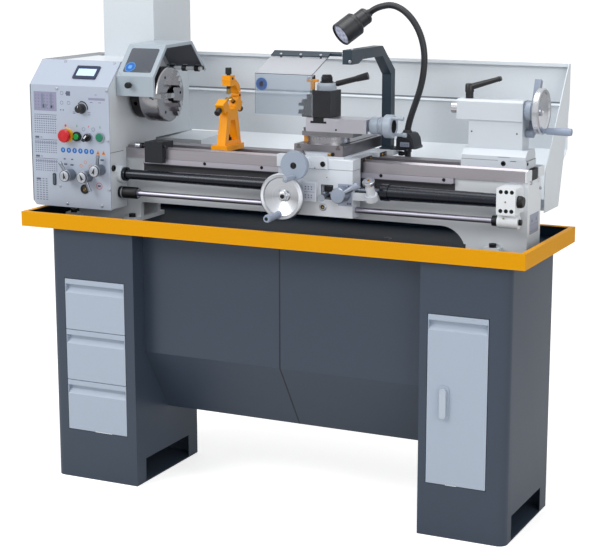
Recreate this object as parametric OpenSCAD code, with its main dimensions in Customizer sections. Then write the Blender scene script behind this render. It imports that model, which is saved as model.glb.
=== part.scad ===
// Bench engine lathe on a steel stand, with chip tray, splash guard and work lamp.
// Millimetres. X runs along the bed to the tailstock, Y away from the operator, Z up.
// The origin is on the floor, midway between the four floor anchors.

/* [Stand] */
// Length of the chip tray
tray_w = 1540; // [1440:10:1700]
// Depth of the chip tray
tray_d = 445; // [430:5:520]
// Height of the tray rim above the floor
rim_z = 800; // [700:10:900]
// Height of the yellow rim band
rim_h = 43; // [36:1:46]
// Depth of the two pedestals
ped_d = 362; // [330:2:400]
// Front face of the pedestals
ped_y = -202; // [-210:1:-195]
// Width of the left pedestal
ped_lw = 280; // [270:2:320]
// Width of the right pedestal
ped_rw = 250; // [240:2:290]
// Inner side of the left pedestal
ped_lx = -405; // [-430:5:-390]
// Inner side of the right pedestal
ped_rx = 478; // [460:2:500]
// Sheet thickness of the stand
sheet = 2; // [1.5:0.5:3]
// Height of one drawer front
drawer_h = 151; // [120:1:155]
// Width of the drawer fronts
drawer_w = 201; // [170:1:205]
// Depth of the drawer boxes
drawer_d = 300; // [220:5:310]
// Gap between two drawer fronts
drawer_gap = 2; // [2:0.5:4]
// Lower edge of the drawer stack and the door
front_z = 150; // [120:5:180]
// Width of the door
door_w = 168; // [140:2:172]
// Height of the door
door_h = 465; // [380:5:480]
// Half spacing of the floor anchors along X
anchor_x = 575; // [560:1:590]
// Half spacing of the floor anchors along Y
anchor_y = 130; // [100:2:140]
// Radius of the anchor holes
anchor_r = 7; // [5:0.5:9]

/* [Bed] */
// Height of the way tops above the tray floor
way_h = 217; // [200:1:240]
// Left end of the bed
bed_x0 = -680; // [-685:1:-672]
// Right end of the bed
bed_x1 = 719; // [715:1:740]
// Width over both ways
ways_w = 158; // [150:1:170]
// Width of one way
way_w = 50; // [44:1:54]
// Depth of the machined way face
way_t = 28; // [22:1:32]
// Height of the bed walls
bed_h = 160; // [140:1:165]
// Width over the bed walls
bed_w = 112; // [100:1:120]
// Module of the rack teeth
rack_m = 2; // [1.5:0.25:3]

/* [Headstock] */
// Height of the spindle above the ways
centre_h = 152; // [145:1:165]
// Spindle axis behind the tray centre
axis_y = 17; // [10:1:24]
// Right face of the headstock
head_x = -505; // [-515:1:-500]
// Width of the headstock casting
head_w = 195; // [190:1:198]
// Radius of the spindle bore
bore_r = 19; // [15:0.5:20]
// Radius of the chuck
chuck_r = 80; // [62:1:90]
// Depth of the chuck body
chuck_d = 60; // [50:1:66]
// Width of the jaws
jaw_w = 14; // [10:1:18]

/* [Carriage] */
// Length of the saddle wings
saddle_w = 227; // [220:1:240]
// Middle of the cross slide along X
saddle_x = 142; // [130:1:150]
// Height of the apron
apron_h = 130; // [120:1:132]
// Radius of the carriage handwheel
wheel_r = 65; // [50:1:66]
// Width of the cross slide
cross_w = 146; // [130:2:150]
// Radius of the graduated swivel
swivel_r = 59; // [48:1:62]
// Length of the top slide
top_l = 180; // [150:2:200]
// Side of the tool post block
post_w = 54; // [48:1:60]

/* [Tailstock] */
// Length of the tailstock barrel
barrel_l = 184; // [160:2:190]
// Radius of the quill
quill_r = 15; // [12:0.5:18]
// Radius of the tailstock handwheel
tail_r = 61; // [48:1:64]

/* [Fits] */
// Gap between sliding castings
slide_gap = 0.4; // [0.3:0.1:0.8]
// Radial gap of a turning shaft
run_gap = 0.1; // [0.05:0.05:0.2]

/* [Hidden] */
$fn = 48;
// Stand
rim_lip = 14;
floor_z = rim_z - 32;
under_z = floor_z - sheet;
ped_back = ped_y + ped_d;
ped_lx0 = ped_lx - ped_lw;
drawer_x = ped_lx - 32 - drawer_w;
drawer_pitch = drawer_h + drawer_gap;
door_x = ped_rx + 24;
pin_in = 4;
pin_r = 2;
// Bed
way_z = floor_z + way_h;
way_y0 = axis_y - ways_w / 2;
way_y1 = axis_y + ways_w / 2;
wall_y0 = way_y0 + 8;
wall_y1 = wall_y0 + bed_w;
bed_z = way_z - bed_h;
vee_y = way_y0 + 18;
vee_w = 16;
vee_h = 5;
screw_y = way_y0 - 38;
screw_z = way_z - 73;
feed_z = screw_z - 54;
screw_r = 10;
feed_r = 8;
brk_x = bed_x1 - 64;
bolt_x = [bed_x0 - 10, head_x + 19, bed_x1 - 90];
rack_x0 = -448;
rack_x1 = 514;
rack_y0 = wall_y0 - 10;
rack_z0 = way_z - 47;
rack_z1 = way_z - way_t - 0.5;
rack_pins = [-420, -242, -59, 123, 305, 487];
// Headstock
axis_z = way_z + centre_h;
head_x0 = head_x - head_w;
plate_y = axis_y - 167;
plate_t = 3;
plate_x0 = head_x - 271;
plate_z0 = floor_z + 42;
bend_z = axis_z + 29;
slope_y = plate_y + 70;
slope_z = axis_z + 98;
guard_z = axis_z + 104;
head_back = axis_y + 92;
cab_back = axis_y + 311;
cab_x0 = head_x - 175;
cab_z1 = 1425;
spin_r = 27;
nose_x = head_x + 3;
chuck_x0 = head_x + 47;
chuck_x1 = chuck_x0 + chuck_d;
back_r = chuck_r - 8;
// Chuck guard hinge
hood_y = axis_y + 163;
hood_z = axis_z + 63;
hood_x1 = head_x + 125;
hood_t = 2;
// Carriage
sad_x0 = saddle_x - 120;
sad_x1 = sad_x0 + saddle_w;
sad_y0 = way_y0 - 63;
sad_y1 = way_y1 + 8;
sad_z = way_z + 12;
lip_z = way_z - 17;
bridge_z = way_z + 18;
apron_x0 = sad_x0 + 2;
apron_x1 = sad_x1 - 1;
apron_z = lip_z - apron_h;
cross_x0 = saddle_x - cross_w / 2;
cross_y0 = axis_y - 135;
cross_y1 = axis_y + 148;
cross_z1 = bridge_z + 30;
cs_z = way_z + 12;
swivel_x = saddle_x;
swivel_y = axis_y - 67;
swivel_z1 = cross_z1 + 19;
base_z1 = swivel_z1 + 12;
top_x0 = swivel_x - 53;
top_y0 = swivel_y - 35;
top_z1 = base_z1 + 38;
tw_z = base_z1 + 21;
post_x = swivel_x - 9;
post_y = swivel_y + 7;
post_z1 = top_z1 + 73;
wheel_x = apron_x0 + 28;
wheel_z = apron_z + 52;
hub_x = apron_x1 - 27;
hub_z = apron_z + 66;
dial_x = apron_x1 + 56;
rear_y = sad_y1;
arm_x0 = saddle_x + 78;
arm_x1 = arm_x0 + 28;
arm_y0 = axis_y + 133;
rod_y = axis_y - 141;
rod_z = axis_z + 143;
// Tailstock
tail_x0 = 520;
tail_x1 = tail_x0 + 182;
barrel_x0 = tail_x0 - 20;
barrel_x1 = barrel_x0 + barrel_l;
tail_y0 = axis_y - 45;
tail_y1 = axis_y + 45;
// Steady
st_x = -205;
st_r = 36;
st_R = 52;
st_t = 26;

function arc(cx, cy, r, a0, a1, n) =
  [for (i = [0:n]) [cx + r * cos(a0 + (a1 - a0) * i / n), cy + r * sin(a0 + (a1 - a0) * i / n)]];

// Plain box between two corners
module block(lo, hi) {
  translate(lo) cube(hi - lo);
}
// Round bars along each axis
module bar_x(x0, x1, y, z, r) {
  translate([x0, y, z]) rotate([0, 90, 0]) cylinder(h = x1 - x0, r = r);
}
module bar_y(y0, y1, x, z, r) {
  translate([x, y0, z]) rotate([-90, 0, 0]) cylinder(h = y1 - y0, r = r);
}
module bar_z(z0, z1, x, y, r) {
  translate([x, y, z0]) cylinder(h = z1 - z0, r = r);
}
// A section drawn in Y and Z, carried along X
module run_x(x0, x1) {
  translate([x0, 0, 0]) rotate([90, 0, 90]) linear_extrude(x1 - x0) children();
}
// A section drawn in X and Z, carried along Y
module run_y(y0, y1) {
  translate([0, y1, 0]) rotate([90, 0, 0]) linear_extrude(y1 - y0) children();
}
// A plan drawn in X and Y, carried along Z
module run_z(z0, z1) {
  translate([0, 0, z0]) linear_extrude(z1 - z0) children();
}
// Rectangle with rounded corners, as a polygon
module soft_rect(x0, y0, x1, y1, r) {
  polygon(concat(arc(x1 - r, y1 - r, r, 0, 90, 5), arc(x0 + r, y1 - r, r, 90, 180, 5),
    arc(x0 + r, y0 + r, r, 180, 270, 5), arc(x1 - r, y0 + r, r, 270, 360, 5)));
}
// Solid of revolution about an axis along Y, from radius and depth pairs
module spun_y(x, y, z, pts) {
  translate([x, y, z]) rotate([-90, 0, 0]) rotate_extrude() polygon(pts);
}
// Solid of revolution about an axis along X
module spun_x(x, y, z, pts) {
  translate([x, y, z]) rotate([0, 90, 0]) rotate_extrude() polygon(pts);
}
// Bent sheet: each point of a polyline is thickened by t towards its left
module strip(pts, t) {
  polygon(concat(pts, [for (i = [len(pts) - 1:-1:0]) pts[i] + t * left_of(pts, i)]));
}
function unit(v) = v / norm(v);
function left(v) = [-v[1], v[0]];
function left_of(p, i) =
  i == 0 ? left(unit(p[1] - p[0])) :
  i == len(p) - 1 ? left(unit(p[i] - p[i - 1])) :
  let (a = left(unit(p[i] - p[i - 1])), b = left(unit(p[i + 1] - p[i]))) (a + b) / (1 + a * b);

// ---------------------------------------------------------------- stand
// Plan of a pedestal with its outer front corner rounded
module ped_plan(x0, x1, side, inset) {
  a = x0 + inset;
  b = x1 - inset;
  f = ped_y + inset;
  k = ped_back - inset;
  r = 24 - inset;
  if (side > 0) {
    polygon(concat([[a, f]], arc(b - r, f + r, r, 270, 360, 6), [[b, k], [a, k]]));
  } else {
    polygon(concat(arc(a + r, f + r, r, 180, 270, 6), [[b, f], [b, k], [a, k]]));
  }
}
module pedestal(x0, x1, side, ox0, ox1, oz1, hx) {
  difference() {
    run_z(0, under_z) ped_plan(x0, x1, side, 0);
    run_z(3, under_z - sheet) ped_plan(x0, x1, side, sheet);
    block([ox0, ped_y - 5, front_z - drawer_gap], [ox1, ped_y + 30, oz1]);
    block([x0 - 5, ped_y + 52, 3], [x1 + 5, ped_back - 55, 72]);
    for (s = [-1, 1]) bar_z(-1, 10, hx, s * anchor_y, anchor_r);
  }
}
module pedestals() {
  stack = 3 * drawer_h + 3 * drawer_gap;
  color("#3c444e") {
    pedestal(ped_lx0, ped_lx, -1, drawer_x - 2, drawer_x + drawer_w + 2, front_z + stack, -anchor_x);
    pedestal(ped_rx, ped_rx + ped_rw, 1, door_x - 2, door_x + door_w + 2,
      front_z + door_h + 2, anchor_x);
    // Drawer rails
    for (i = [0:2]) {
      z = front_z + i * drawer_pitch + 8;
      block([ped_lx0 + sheet, ped_y + 19, z], [drawer_x + 16, ped_back - 20, z + 3]);
      block([drawer_x + drawer_w - 16, ped_y + 19, z], [ped_lx - sheet, ped_back - 20, z + 3]);
    }
    // Door pins on their lugs
    for (s = [0, 1]) {
      px = door_x + door_w - pin_in;
      z0 = s == 0 ? front_z - 12 : front_z + door_h + 3;
      difference() {
        block([px - 12, ped_y + sheet, z0], [ped_rx + ped_rw - sheet, ped_y + 16, z0 + 9]);
        run_z(z0 - 1, z0 + 20) polygon(concat([[ped_rx + ped_rw + 9, ped_y - 9]],
          arc(ped_rx + ped_rw - 24, ped_y + 24, 24 - sheet, 360, 270, 6)));
      }
      if (s == 0) bar_z(z0 + 9, z0 + 18, px, ped_y + 3, pin_r);
      if (s == 1) bar_z(z0 - 9, z0, px, ped_y + 3, pin_r);
    }
  }
}
// Two folded sheets close the back of the knee space and meet in the middle
module knee_panels() {
  mid = (ped_lx + ped_rx) / 2;
  fold = [[-145, under_z], [-145, 398], [-16, 200]];
  color("#3c444e") for (s = [0, 1]) {
    x0 = s == 0 ? ped_lx + 0.3 : mid + 0.15;
    x1 = s == 0 ? mid - 0.15 : ped_rx - 0.3;
    run_x(x0, x1) strip(fold, sheet);
    for (e = [x0, x1 - sheet]) run_x(e, e + sheet) strip(fold, 16);
  }
}
module stand() {
  pedestals();
  knee_panels();
}
module chip_tray() {
  hx = tray_w / 2 - sheet;
  hy = tray_d / 2 - sheet;
  color("#2c3a48") difference() {
    block([-hx, -hy, under_z], [hx, hy, rim_z - sheet]);
    block([-hx + sheet, -hy + sheet, floor_z], [hx - sheet, hy - sheet, rim_z]);
    bar_z(under_z - 1, floor_z + 1, 300, 0, 12);
  }
}
module tray_band() {
  hx = tray_w / 2;
  hy = tray_d / 2;
  color("#f0a800") difference() {
    block([-hx, -hy, rim_z - rim_h], [hx, hy, rim_z]);
    block([-hx + sheet, -hy + sheet, rim_z - rim_h - 1], [hx - sheet, hy - sheet, rim_z - sheet]);
    block([-hx + rim_lip, -hy + rim_lip, rim_z - 9], [hx - rim_lip, hy - rim_lip, rim_z + 1]);
  }
}
// Front with a full-width finger groove under its top lip
module pull_front(w, h) {
  difference() {
    run_x(0, w) polygon([[0, 0], [18, 0], [18, h], [0, h], [0, h - 15], [13, h - 17],
      [13, h - 26], [0, h - 42]]);
    block([1.5, 1.5, 1.5], [w - 1.5, 20, h - 44]);
  }
  for (x = [0, w - 1.5]) run_x(x, x + 1.5) polygon([[0, h - 42], [13, h - 42], [13, h - 15], [0, h - 15]]);
}
module drawer(i) {
  z0 = front_z + i * drawer_pitch;
  color("#b4bfca") translate([drawer_x, ped_y - 1, z0]) {
    pull_front(drawer_w, drawer_h);
    difference() {
      block([6, 16, 11 + slide_gap], [drawer_w - 6, 18 + drawer_d, 112]);
      block([7.5, 18, 13], [drawer_w - 7.5, 16.5 + drawer_d, 120]);
    }
  }
}
module drawer_top() {
  drawer(2);
}
module drawer_middle() {
  drawer(1);
}
module drawer_bottom() {
  drawer(0);
}
module door() {
  hx = door_w - pin_in;
  color("#b4bfca") translate([door_x, ped_y - 1, front_z]) {
    difference() {
      pull_front(door_w, door_h);
      bar_z(-5, 10, hx, 4, pin_r + run_gap);
      bar_z(door_h - 10, door_h + 5, hx, 4, pin_r + run_gap);
      bar_y(-5, 10, 48, 256, 6 + run_gap);
    }
    difference() {
      run_y(-3, 0) soft_rect(33, 180, 63, 274, 12);
      bar_y(-5, 10, 48, 256, 6 + run_gap);
    }
  }
}
module door_latch() {
  color("#c4ccd4") translate([door_x, ped_y - 1, front_z]) {
    bar_y(-6, 21.6, 48, 256, 6);
    run_y(-12, -3 - slide_gap) soft_rect(39, 186, 57, 268, 8);
    // Cam, upright while unlocked; a quarter turn puts it behind the lip
    run_y(18.6, 21.6) soft_rect(38, 246, 58, 318, 6);
  }
}

// ---------------------------------------------------------------- bed
// Side wall of the bed, with the long opening under it and both feet
module bed_wall(y0, y1) {
  r = 72;
  a0 = asin((r - bed_z + floor_z + 12) / r);
  xl = head_x + 42;
  xr = bed_x1 - 170;
  run_y(y0, y1) polygon(concat([[bed_x0, floor_z + 12], [xl, floor_z + 12]],
    arc(xl + 12, bed_z - 12, 12, 180, 90, 4), arc(xr - r, bed_z - r, r, 90, a0, 8),
    [[bed_x1, floor_z + 12], [bed_x1, way_z - way_t], [bed_x0, way_z - way_t]]));
}
module bed_casting() {
  gap_y0 = way_y0 + way_w;
  gap_y1 = way_y1 - way_w;
  color("#e4e8ea") {
    difference() {
      union() {
        bed_wall(wall_y0, wall_y0 + 16);
        bed_wall(wall_y1 - 16, wall_y1);
        // Machined ways, the front one with a vee
        run_x(bed_x0, bed_x1 - 4) polygon([[way_y0, way_z - way_t], [gap_y0, way_z - way_t],
          [gap_y0, way_z], [vee_y + vee_w / 2, way_z], [vee_y + 2, way_z + vee_h],
          [vee_y - 2, way_z + vee_h], [vee_y - vee_w / 2, way_z], [way_y0, way_z]]);
        block([bed_x0, gap_y1, way_z - way_t], [bed_x1 - 4, way_y1, way_z]);
        // Cross ribs between the walls
        for (x = [-390:130:480])
          block([x, wall_y0 + 15, bed_z + 4], [x + 12, wall_y1 - 15, way_z - 80]);
        // End walls
        block([bed_x1 - 16, wall_y0 + 15, floor_z + 12], [bed_x1, wall_y1 - 15, way_z - 38]);
        block([bed_x0, wall_y0 + 15, floor_z + 12], [bed_x0 + 16, wall_y1 - 15, way_z - 38]);
        block([head_x + 30, wall_y0 + 15, bed_z - 4], [head_x + 42, wall_y1 - 15, way_z - 38]);
        // Foot flanges with their bolt ears
        for (f = [[bed_x0, head_x + 42], [bed_x1 - 170, bed_x1]]) {
          block([f[0], wall_y0, floor_z], [f[1], wall_y1, floor_z + 12]);
        }
        for (x = bolt_x, y = [wall_y0 - 24, wall_y1 - 2])
          block([x - 22, y, floor_z], [x + 22, y + 26, floor_z + 12]);
      }
      // Foot openings between the walls
      for (f = [[bed_x0 + 16, head_x + 26], [bed_x1 - 154, bed_x1 - 16]])
        block([f[0], wall_y0 + 16, floor_z - 1], [f[1], wall_y1 - 16, floor_z + 30]);
      for (x = bolt_x, y = [wall_y0 - 12, wall_y1 + 12]) bar_z(floor_z - 1, floor_z + 20, x, y, 6.5);
    }
    // Bearing bracket of both shafts at the tailstock end
    difference() {
      union() {
        run_y(sad_y0 + 2, wall_y0) soft_rect(brk_x, screw_z - 34, brk_x + 52, screw_z + 38, 4);
        bar_x(brk_x, brk_x + 56, screw_y, feed_z, 18);
        block([brk_x, screw_y - 10, feed_z], [brk_x + 52, screw_y + 17, screw_z - 20]);
      }
      bar_x(brk_x - 3, brk_x + 67, screw_y, screw_z, screw_r + run_gap);
      bar_x(brk_x - 3, brk_x + 67, screw_y, feed_z, feed_r + run_gap);
      for (x = [12, 27, 42], z = [-23, 27]) bar_y(sad_y0, sad_y0 + 10, brk_x + x, screw_z + z, 5.5);
    }
    // Angle that stops the tailstock at the end of the ways
    block([bed_x1 - 42, gap_y0 + 6, way_z - 38], [bed_x1 - 4, gap_y1 - 6, way_z - 30]);
  }
}
// Rack strip under the front way, teeth down
module rack_strip() {
  p = PI * rack_m;
  n = floor((rack_x1 - rack_x0 - 4) / p);
  h = 2.25 * rack_m;
  z0 = rack_z0 + h;
  color("#b9bcc4") difference() {
    run_y(rack_y0, wall_y0 - 0.3) polygon(concat(
      [[rack_x0, rack_z1], [rack_x0, z0]],
      [for (i = [0:n - 1], k = [0:3]) [rack_x0 + 2 + p * (i + [0.05, 0.3, 0.7, 0.95][k]),
        k == 0 || k == 3 ? z0 : rack_z0]],
      [[rack_x1, z0], [rack_x1, rack_z1]]));
    for (x = rack_pins) bar_y(rack_y0 - 1, rack_y0 + 6, x, rack_z1 - 5.5, 5);
  }
}
module bed() {
  bed_casting();
  rack_strip();
}
module socket_screw(r, h) {
  difference() {
    cylinder(h = h, r = r);
    translate([0, 0, h - 0.6 * h]) cylinder(h = h, r = r * 0.5, $fn = 6);
  }
}
// Hold-down bolts, rack and bracket screws, display frame and oil sight
module black_trim() {
  color("#1d1f22") {
    for (x = bolt_x, y = [wall_y0 - 12, wall_y1 + 12]) {
      bar_z(floor_z, floor_z + 12, x, y, 6);
      translate([x, y, floor_z + 12]) socket_screw(10, 10);
    }
    for (x = rack_pins) translate([x, rack_y0 + 6, rack_z1 - 5.5]) rotate([90, 0, 0]) socket_screw(4.9, 5);
    for (x = [12, 27, 42], z = [-23, 27])
      translate([brk_x + x, sad_y0 + 10, screw_z + z]) rotate([90, 0, 0]) socket_screw(5.3, 8);
    // Display frame on the sloping part of the front plate
    a = atan2(slope_z - bend_z, slope_y - plate_y);
    translate([0, plate_y, bend_z]) rotate([a, 0, 0]) difference() {
      linear_extrude(3.5) soft_rect(-640, 27, -561, 75, 3);
      translate([0, 0, 2]) linear_extrude(3) soft_rect(-632, 36, -569, 66, 1);
    }
    // Collars of the push buttons and the selector
    for (i = [0:3]) difference() {
      bar_y(plate_y - [8, 6, 6, 5][i], plate_y, ctl[i][0], ctl[i][1], ctl[i][2] + [9, 5, 6, 3][i]);
      bar_y(plate_y - 9, plate_y + 1, ctl[i][0], ctl[i][1], ctl[i][2] + 0.3);
    }
    // Oil sights
    run_y(plate_y - 2, plate_y) soft_rect(-704, way_z - 113, -693, way_z - 77, 5);
    // Angle stop
    run_y(way_y0 + way_w + 8, way_y1 - way_w - 8) polygon([[bed_x1 - 36, way_z - 30], [bed_x1 - 6, way_z - 30],
      [bed_x1 - 6, way_z - 5], [bed_x1 - 12, way_z - 5], [bed_x1 - 12, way_z - 24], [bed_x1 - 36, way_z - 24]]);
  }
}

// ---------------------------------------------------------------- headstock
// Push buttons and selector: X, Z and radius
ctl = [[-648, way_z + 37, 11], [-615, way_z + 35, 9], [-577, way_z + 34, 8], [-537, way_z + 36, 12]];
knob_x = -597;
knob_z = axis_z - 35;
// Feed levers: X, Z and rest angle of the arm
lev = [[-640, way_z - 78, 125], [-581, way_z - 79, -67], [-538, way_z - 58, 85]];
plate_pts = [[slope_y, slope_z], [plate_y, bend_z], [plate_y, plate_z0]];
function inner(i) = plate_pts[i] + plate_t * left_of(plate_pts, i);
module plate_holes(y0, y1) {
  for (c = ctl) bar_y(y0, y1, c[0], c[1], c[2] + 0.3);
  bar_y(y0, y1, knob_x, knob_z, 4.3);
  for (l = lev) bar_y(y0, y1, l[0], l[1], 7.3);
}
module headstock() {
  color("#e6eaec") {
    // Headstock casting
    difference() {
      union() {
        difference() {
          run_x(head_x0, head_x) polygon([[plate_y + plate_t, way_z], [head_back, way_z],
            [head_back, slope_z], [inner(0)[0], slope_z], inner(0), inner(1)]);
          block([head_x0 + 14, plate_y + 40, way_z + 14], [head_x - 14, head_back - 12, bend_z + 20]);
        }
        for (x = [head_x0, head_x - 30]) bar_x(x, x + 30, axis_y, axis_z, 46);
      }
      bar_x(head_x0 - 5, head_x + 5, axis_y, axis_z, spin_r + run_gap);
      run_x(head_x0 - 1, head_x + 1) polygon([[vee_y - vee_w / 2 - 1, way_z - 1],
        [vee_y + vee_w / 2 + 1, way_z - 1], [vee_y + 3, way_z + vee_h + 1], [vee_y - 3, way_z + vee_h + 1]]);
      plate_holes(plate_y, plate_y + 30);
    }
    // Feed gearbox in front of the bed
    difference() {
      union() {
        run_y(plate_y + plate_t, way_y0) polygon([[head_x0, floor_z + 56], [head_x0 + 12, floor_z + 44],
          [head_x, floor_z + 44], [head_x, way_z - 0.3], [head_x0, way_z - 0.3]]);
        bar_x(head_x, head_x + 16, screw_y, screw_z, 24);
      }
      block([head_x0 + 14, plate_y + 38, floor_z + 62], [head_x - 14, way_y0 - 12, way_z - 14]);
      bar_x(head_x - 60, head_x + 20, screw_y, screw_z, screw_r + run_gap);
      bar_x(head_x - 60, head_x + 1, screw_y, feed_z, 12 + run_gap);
      plate_holes(plate_y, plate_y + 30);
    }
  }
}
module front_plate() {
  color("#b6bccd") difference() {
    run_x(plate_x0, head_x) strip(plate_pts, plate_t);
    run_y(plate_y - 1, plate_y + 5) polygon([[plate_x0 - 1, plate_z0 - 1], [plate_x0 + 12, plate_z0 - 1],
      [plate_x0 - 1, plate_z0 + 14]]);
    plate_holes(plate_y - 1, plate_y + 5);
  }
}
// Gear cover, electric cabinet, motor cover and the drive motor behind it
module sheet_housings() {
  gx0 = plate_x0 + 2;
  gy1 = head_back + 118;
  color("#d8dcde") {
    difference() {
      run_x(gx0, head_x0) polygon([[plate_y + plate_t, plate_z0 + 14], [gy1, plate_z0 + 14],
        [gy1, slope_z], [inner(0)[0], slope_z], inner(0), inner(1)]);
      run_x(gx0 + 2, head_x0 + 1) polygon([[plate_y + plate_t + 2, plate_z0 + 16],
        [gy1 - 2, plate_z0 + 16], [gy1 - 2, slope_z - 2], [inner(0)[0] + 1, slope_z - 2],
        inner(1) + [2, 0]]);
      bar_x(gx0 - 1, gx0 + 5, axis_y, axis_z, spin_r + 3);
    }
    difference() {
      block([cab_x0, head_back, way_z + 10], [head_x, cab_back, cab_z1]);
      block([cab_x0 + 2, head_back + 2, way_z + 12], [head_x - 2, cab_back + 1, cab_z1 - 2]);
    }
    // Back lid of the cabinet
    block([cab_x0, cab_back + 0.3, way_z + 10], [head_x, cab_back + 2.3, cab_z1]);
    difference() {
      run_x(cab_x0 + 30, head_x + 128) polygon([[axis_y + 142, way_z - 105], [cab_back, way_z - 105],
        [cab_back, way_z + 9.7], [axis_y + 142, way_z + 3]]);
      run_x(cab_x0 + 32, head_x + 126) polygon([[axis_y + 144, way_z - 103], [cab_back - 2, way_z - 103],
        [cab_back - 2, way_z + 7.5], [axis_y + 144, way_z + 1]]);
    }
    // Shaft that carries the chuck guard
    bar_x(head_x, hood_x1 - 4, hood_y, hood_z, 6);
    // Mounting pad between motor cover and bed
    block([head_x - 40, wall_y1, way_z - 90], [head_x + 20, axis_y + 142, way_z - 40]);
    // Motor on its plate inside the cover
    bar_x(cab_x0 + 60, head_x + 70, axis_y + 222, way_z - 46, 46);
    block([cab_x0 + 80, axis_y + 172, way_z - 102.7], [head_x + 40, axis_y + 272, way_z - 90]);
  }
}
module splash_guard() {
  y = cab_back - 10;
  x1 = head_x + 1217;
  color("#c8ced3") {
    run_x(head_x, x1) strip([[y, way_z + 13], [y, axis_z - 19], [y - 5, axis_z - 14], [y, axis_z - 9],
      [y, guard_z], [y - 14, guard_z], [y - 14, guard_z - 9]], 2);
    run_x(head_x + 128.5, x1) strip([[way_y1 + 52, bed_z + 26], [way_y1 + 52, bed_z + 56],
      [y, way_z + 13.5]], 2);
    // Wing at the tailstock end
    run_x(x1, x1 + 2) polygon([[y, guard_z], [y - 16, guard_z], [way_y1 + 14, way_z - 20],
      [way_y1 + 14, bed_z + 26], [y - 78, bed_z + 26], [y, axis_z - 9]]);
    // Brackets to the back of the bed
    for (x = [-180, 420]) run_x(x, x + 30) polygon([[wall_y1, bed_z + 26], [way_y1 + 52, bed_z + 26],
      [way_y1 + 52, bed_z + 56], [way_y1 + 48, bed_z + 56], [way_y1 + 48, bed_z + 30],
      [wall_y1, bed_z + 30]]);
  }
}

// ---------------------------------------------------------------- controls
module stop_button() {
  color("#d42222") spun_y(ctl[0][0], plate_y, ctl[0][1], [[0, 18], [ctl[0][2], 18], [ctl[0][2], -12.4],
    [17, -12.6], [19, -15], [19.5, -22], [17, -27], [0, -29]]);
}
module push_button(i, d) {
  spun_y(ctl[i][0], plate_y, ctl[i][1], [[0, 18], [ctl[i][2], 18], [ctl[i][2], -d],
    [ctl[i][2] - 1.5, -d - 1.5], [0, -d - 1.5]]);
}
module start_button() {
  color("#0f9a3c") push_button(1, 9);
}
module feed_button() {
  color("#1f8f5f") push_button(3, 6);
}
module mode_selector() {
  color("#202224") {
    spun_y(ctl[2][0], plate_y, ctl[2][1], [[0, 18], [8, 18], [8, -6.6], [11, -6.6], [11, -12], [0, -12]]);
    translate([ctl[2][0], plate_y, ctl[2][1]]) rotate([0, 40, 0]) block([-4, -24, -11], [4, -11, 11]);
  }
}
module speed_knob() {
  color("#202224") spun_y(knob_x, plate_y, knob_z, [[0, 18], [4, 18], [4, -1], [15, -1], [15, -4],
    [12, -6], [11, -21], [10, -22], [0, -22]]);
}
module gear_lever(i) {
  color("#c9cdd2") {
    spun_y(lev[i][0], plate_y, lev[i][1], [[0, 12], [7, 12], [7, -0.6], [17, -0.6], [17, -30],
      [15.5, -31], [15.5, -38], [0, -38]]);
    translate([lev[i][0], plate_y - 20, lev[i][1]]) rotate([0, 90 - lev[i][2], 0]) {
      cylinder(h = 39, r1 = 5.5, r2 = 4.5);
      translate([0, 0, 38]) cylinder(h = 7, r1 = 6, r2 = 5);
    }
  }
}
module lever_left() {
  gear_lever(0);
}
module lever_middle() {
  gear_lever(1);
}
module lever_right() {
  gear_lever(2);
}

// ---------------------------------------------------------------- spindle and chuck
jaw_a = [180, 60, -60];
// Hollow spindle with its belt pulley and nose flange
module spindle() {
  x0 = plate_x0 - 4;
  n = nose_x - x0;
  color("#c0c4c8") spun_x(x0, axis_y, axis_z, [[bore_r, 0], [spin_r, 0], [spin_r, 14], [56, 14], [56, 17],
    [53, 17], [53, 29], [56, 29], [56, 32], [spin_r, 32], [spin_r, n - 0.6], [52, n - 0.6],
    [52, n + 9], [bore_r, n + 9]]);
}
module chuck_body() {
  d0 = chuck_x0 - nose_x - 9;
  d1 = d0 + chuck_d;
  color("#a9adb2") difference() {
    spun_x(nose_x + 9, axis_y, axis_z, [[bore_r + 2, 0], [back_r, 0], [back_r, d0 - 2], [back_r - 3, d0],
      [chuck_r - 1, d0], [chuck_r, d0 + 1], [chuck_r, d1 - 3], [chuck_r - 3, d1], [bore_r + 2, d1]]);
    for (a = jaw_a) translate([0, axis_y, axis_z]) rotate([a, 0, 0]) {
      w = jaw_w / 2 + 0.3;
      block([chuck_x1 - 24, bore_r - 5, -w], [chuck_x1 + 1, chuck_r + 5, w]);
      block([chuck_x1 - 17, bore_r - 5, -w - 3], [chuck_x1 - 10, chuck_r + 5, w + 3]);
      // Square key sockets between the jaws
      rotate([60, 0, 0]) {
        translate([chuck_x0 + 22, chuck_r - 16, 0]) rotate([-90, 45, 0]) cylinder(h = 30, r = 8, $fn = 4);
        translate([chuck_x0 + 22, chuck_r - 4, 0]) rotate([-90, 0, 0]) cylinder(h = 30, r = 9);
      }
      // Screw holes in the back plate and in the face
      rotate([20, 0, 0]) translate([nose_x + 26, back_r - 14, 0]) rotate([-90, 0, 0]) cylinder(h = 30, r = 6);
      rotate([60, 0, 0]) bar_x(chuck_x1 - 8, chuck_x1 + 1, chuck_r - 22, 0, 4.5);
    }
  }
}
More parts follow.
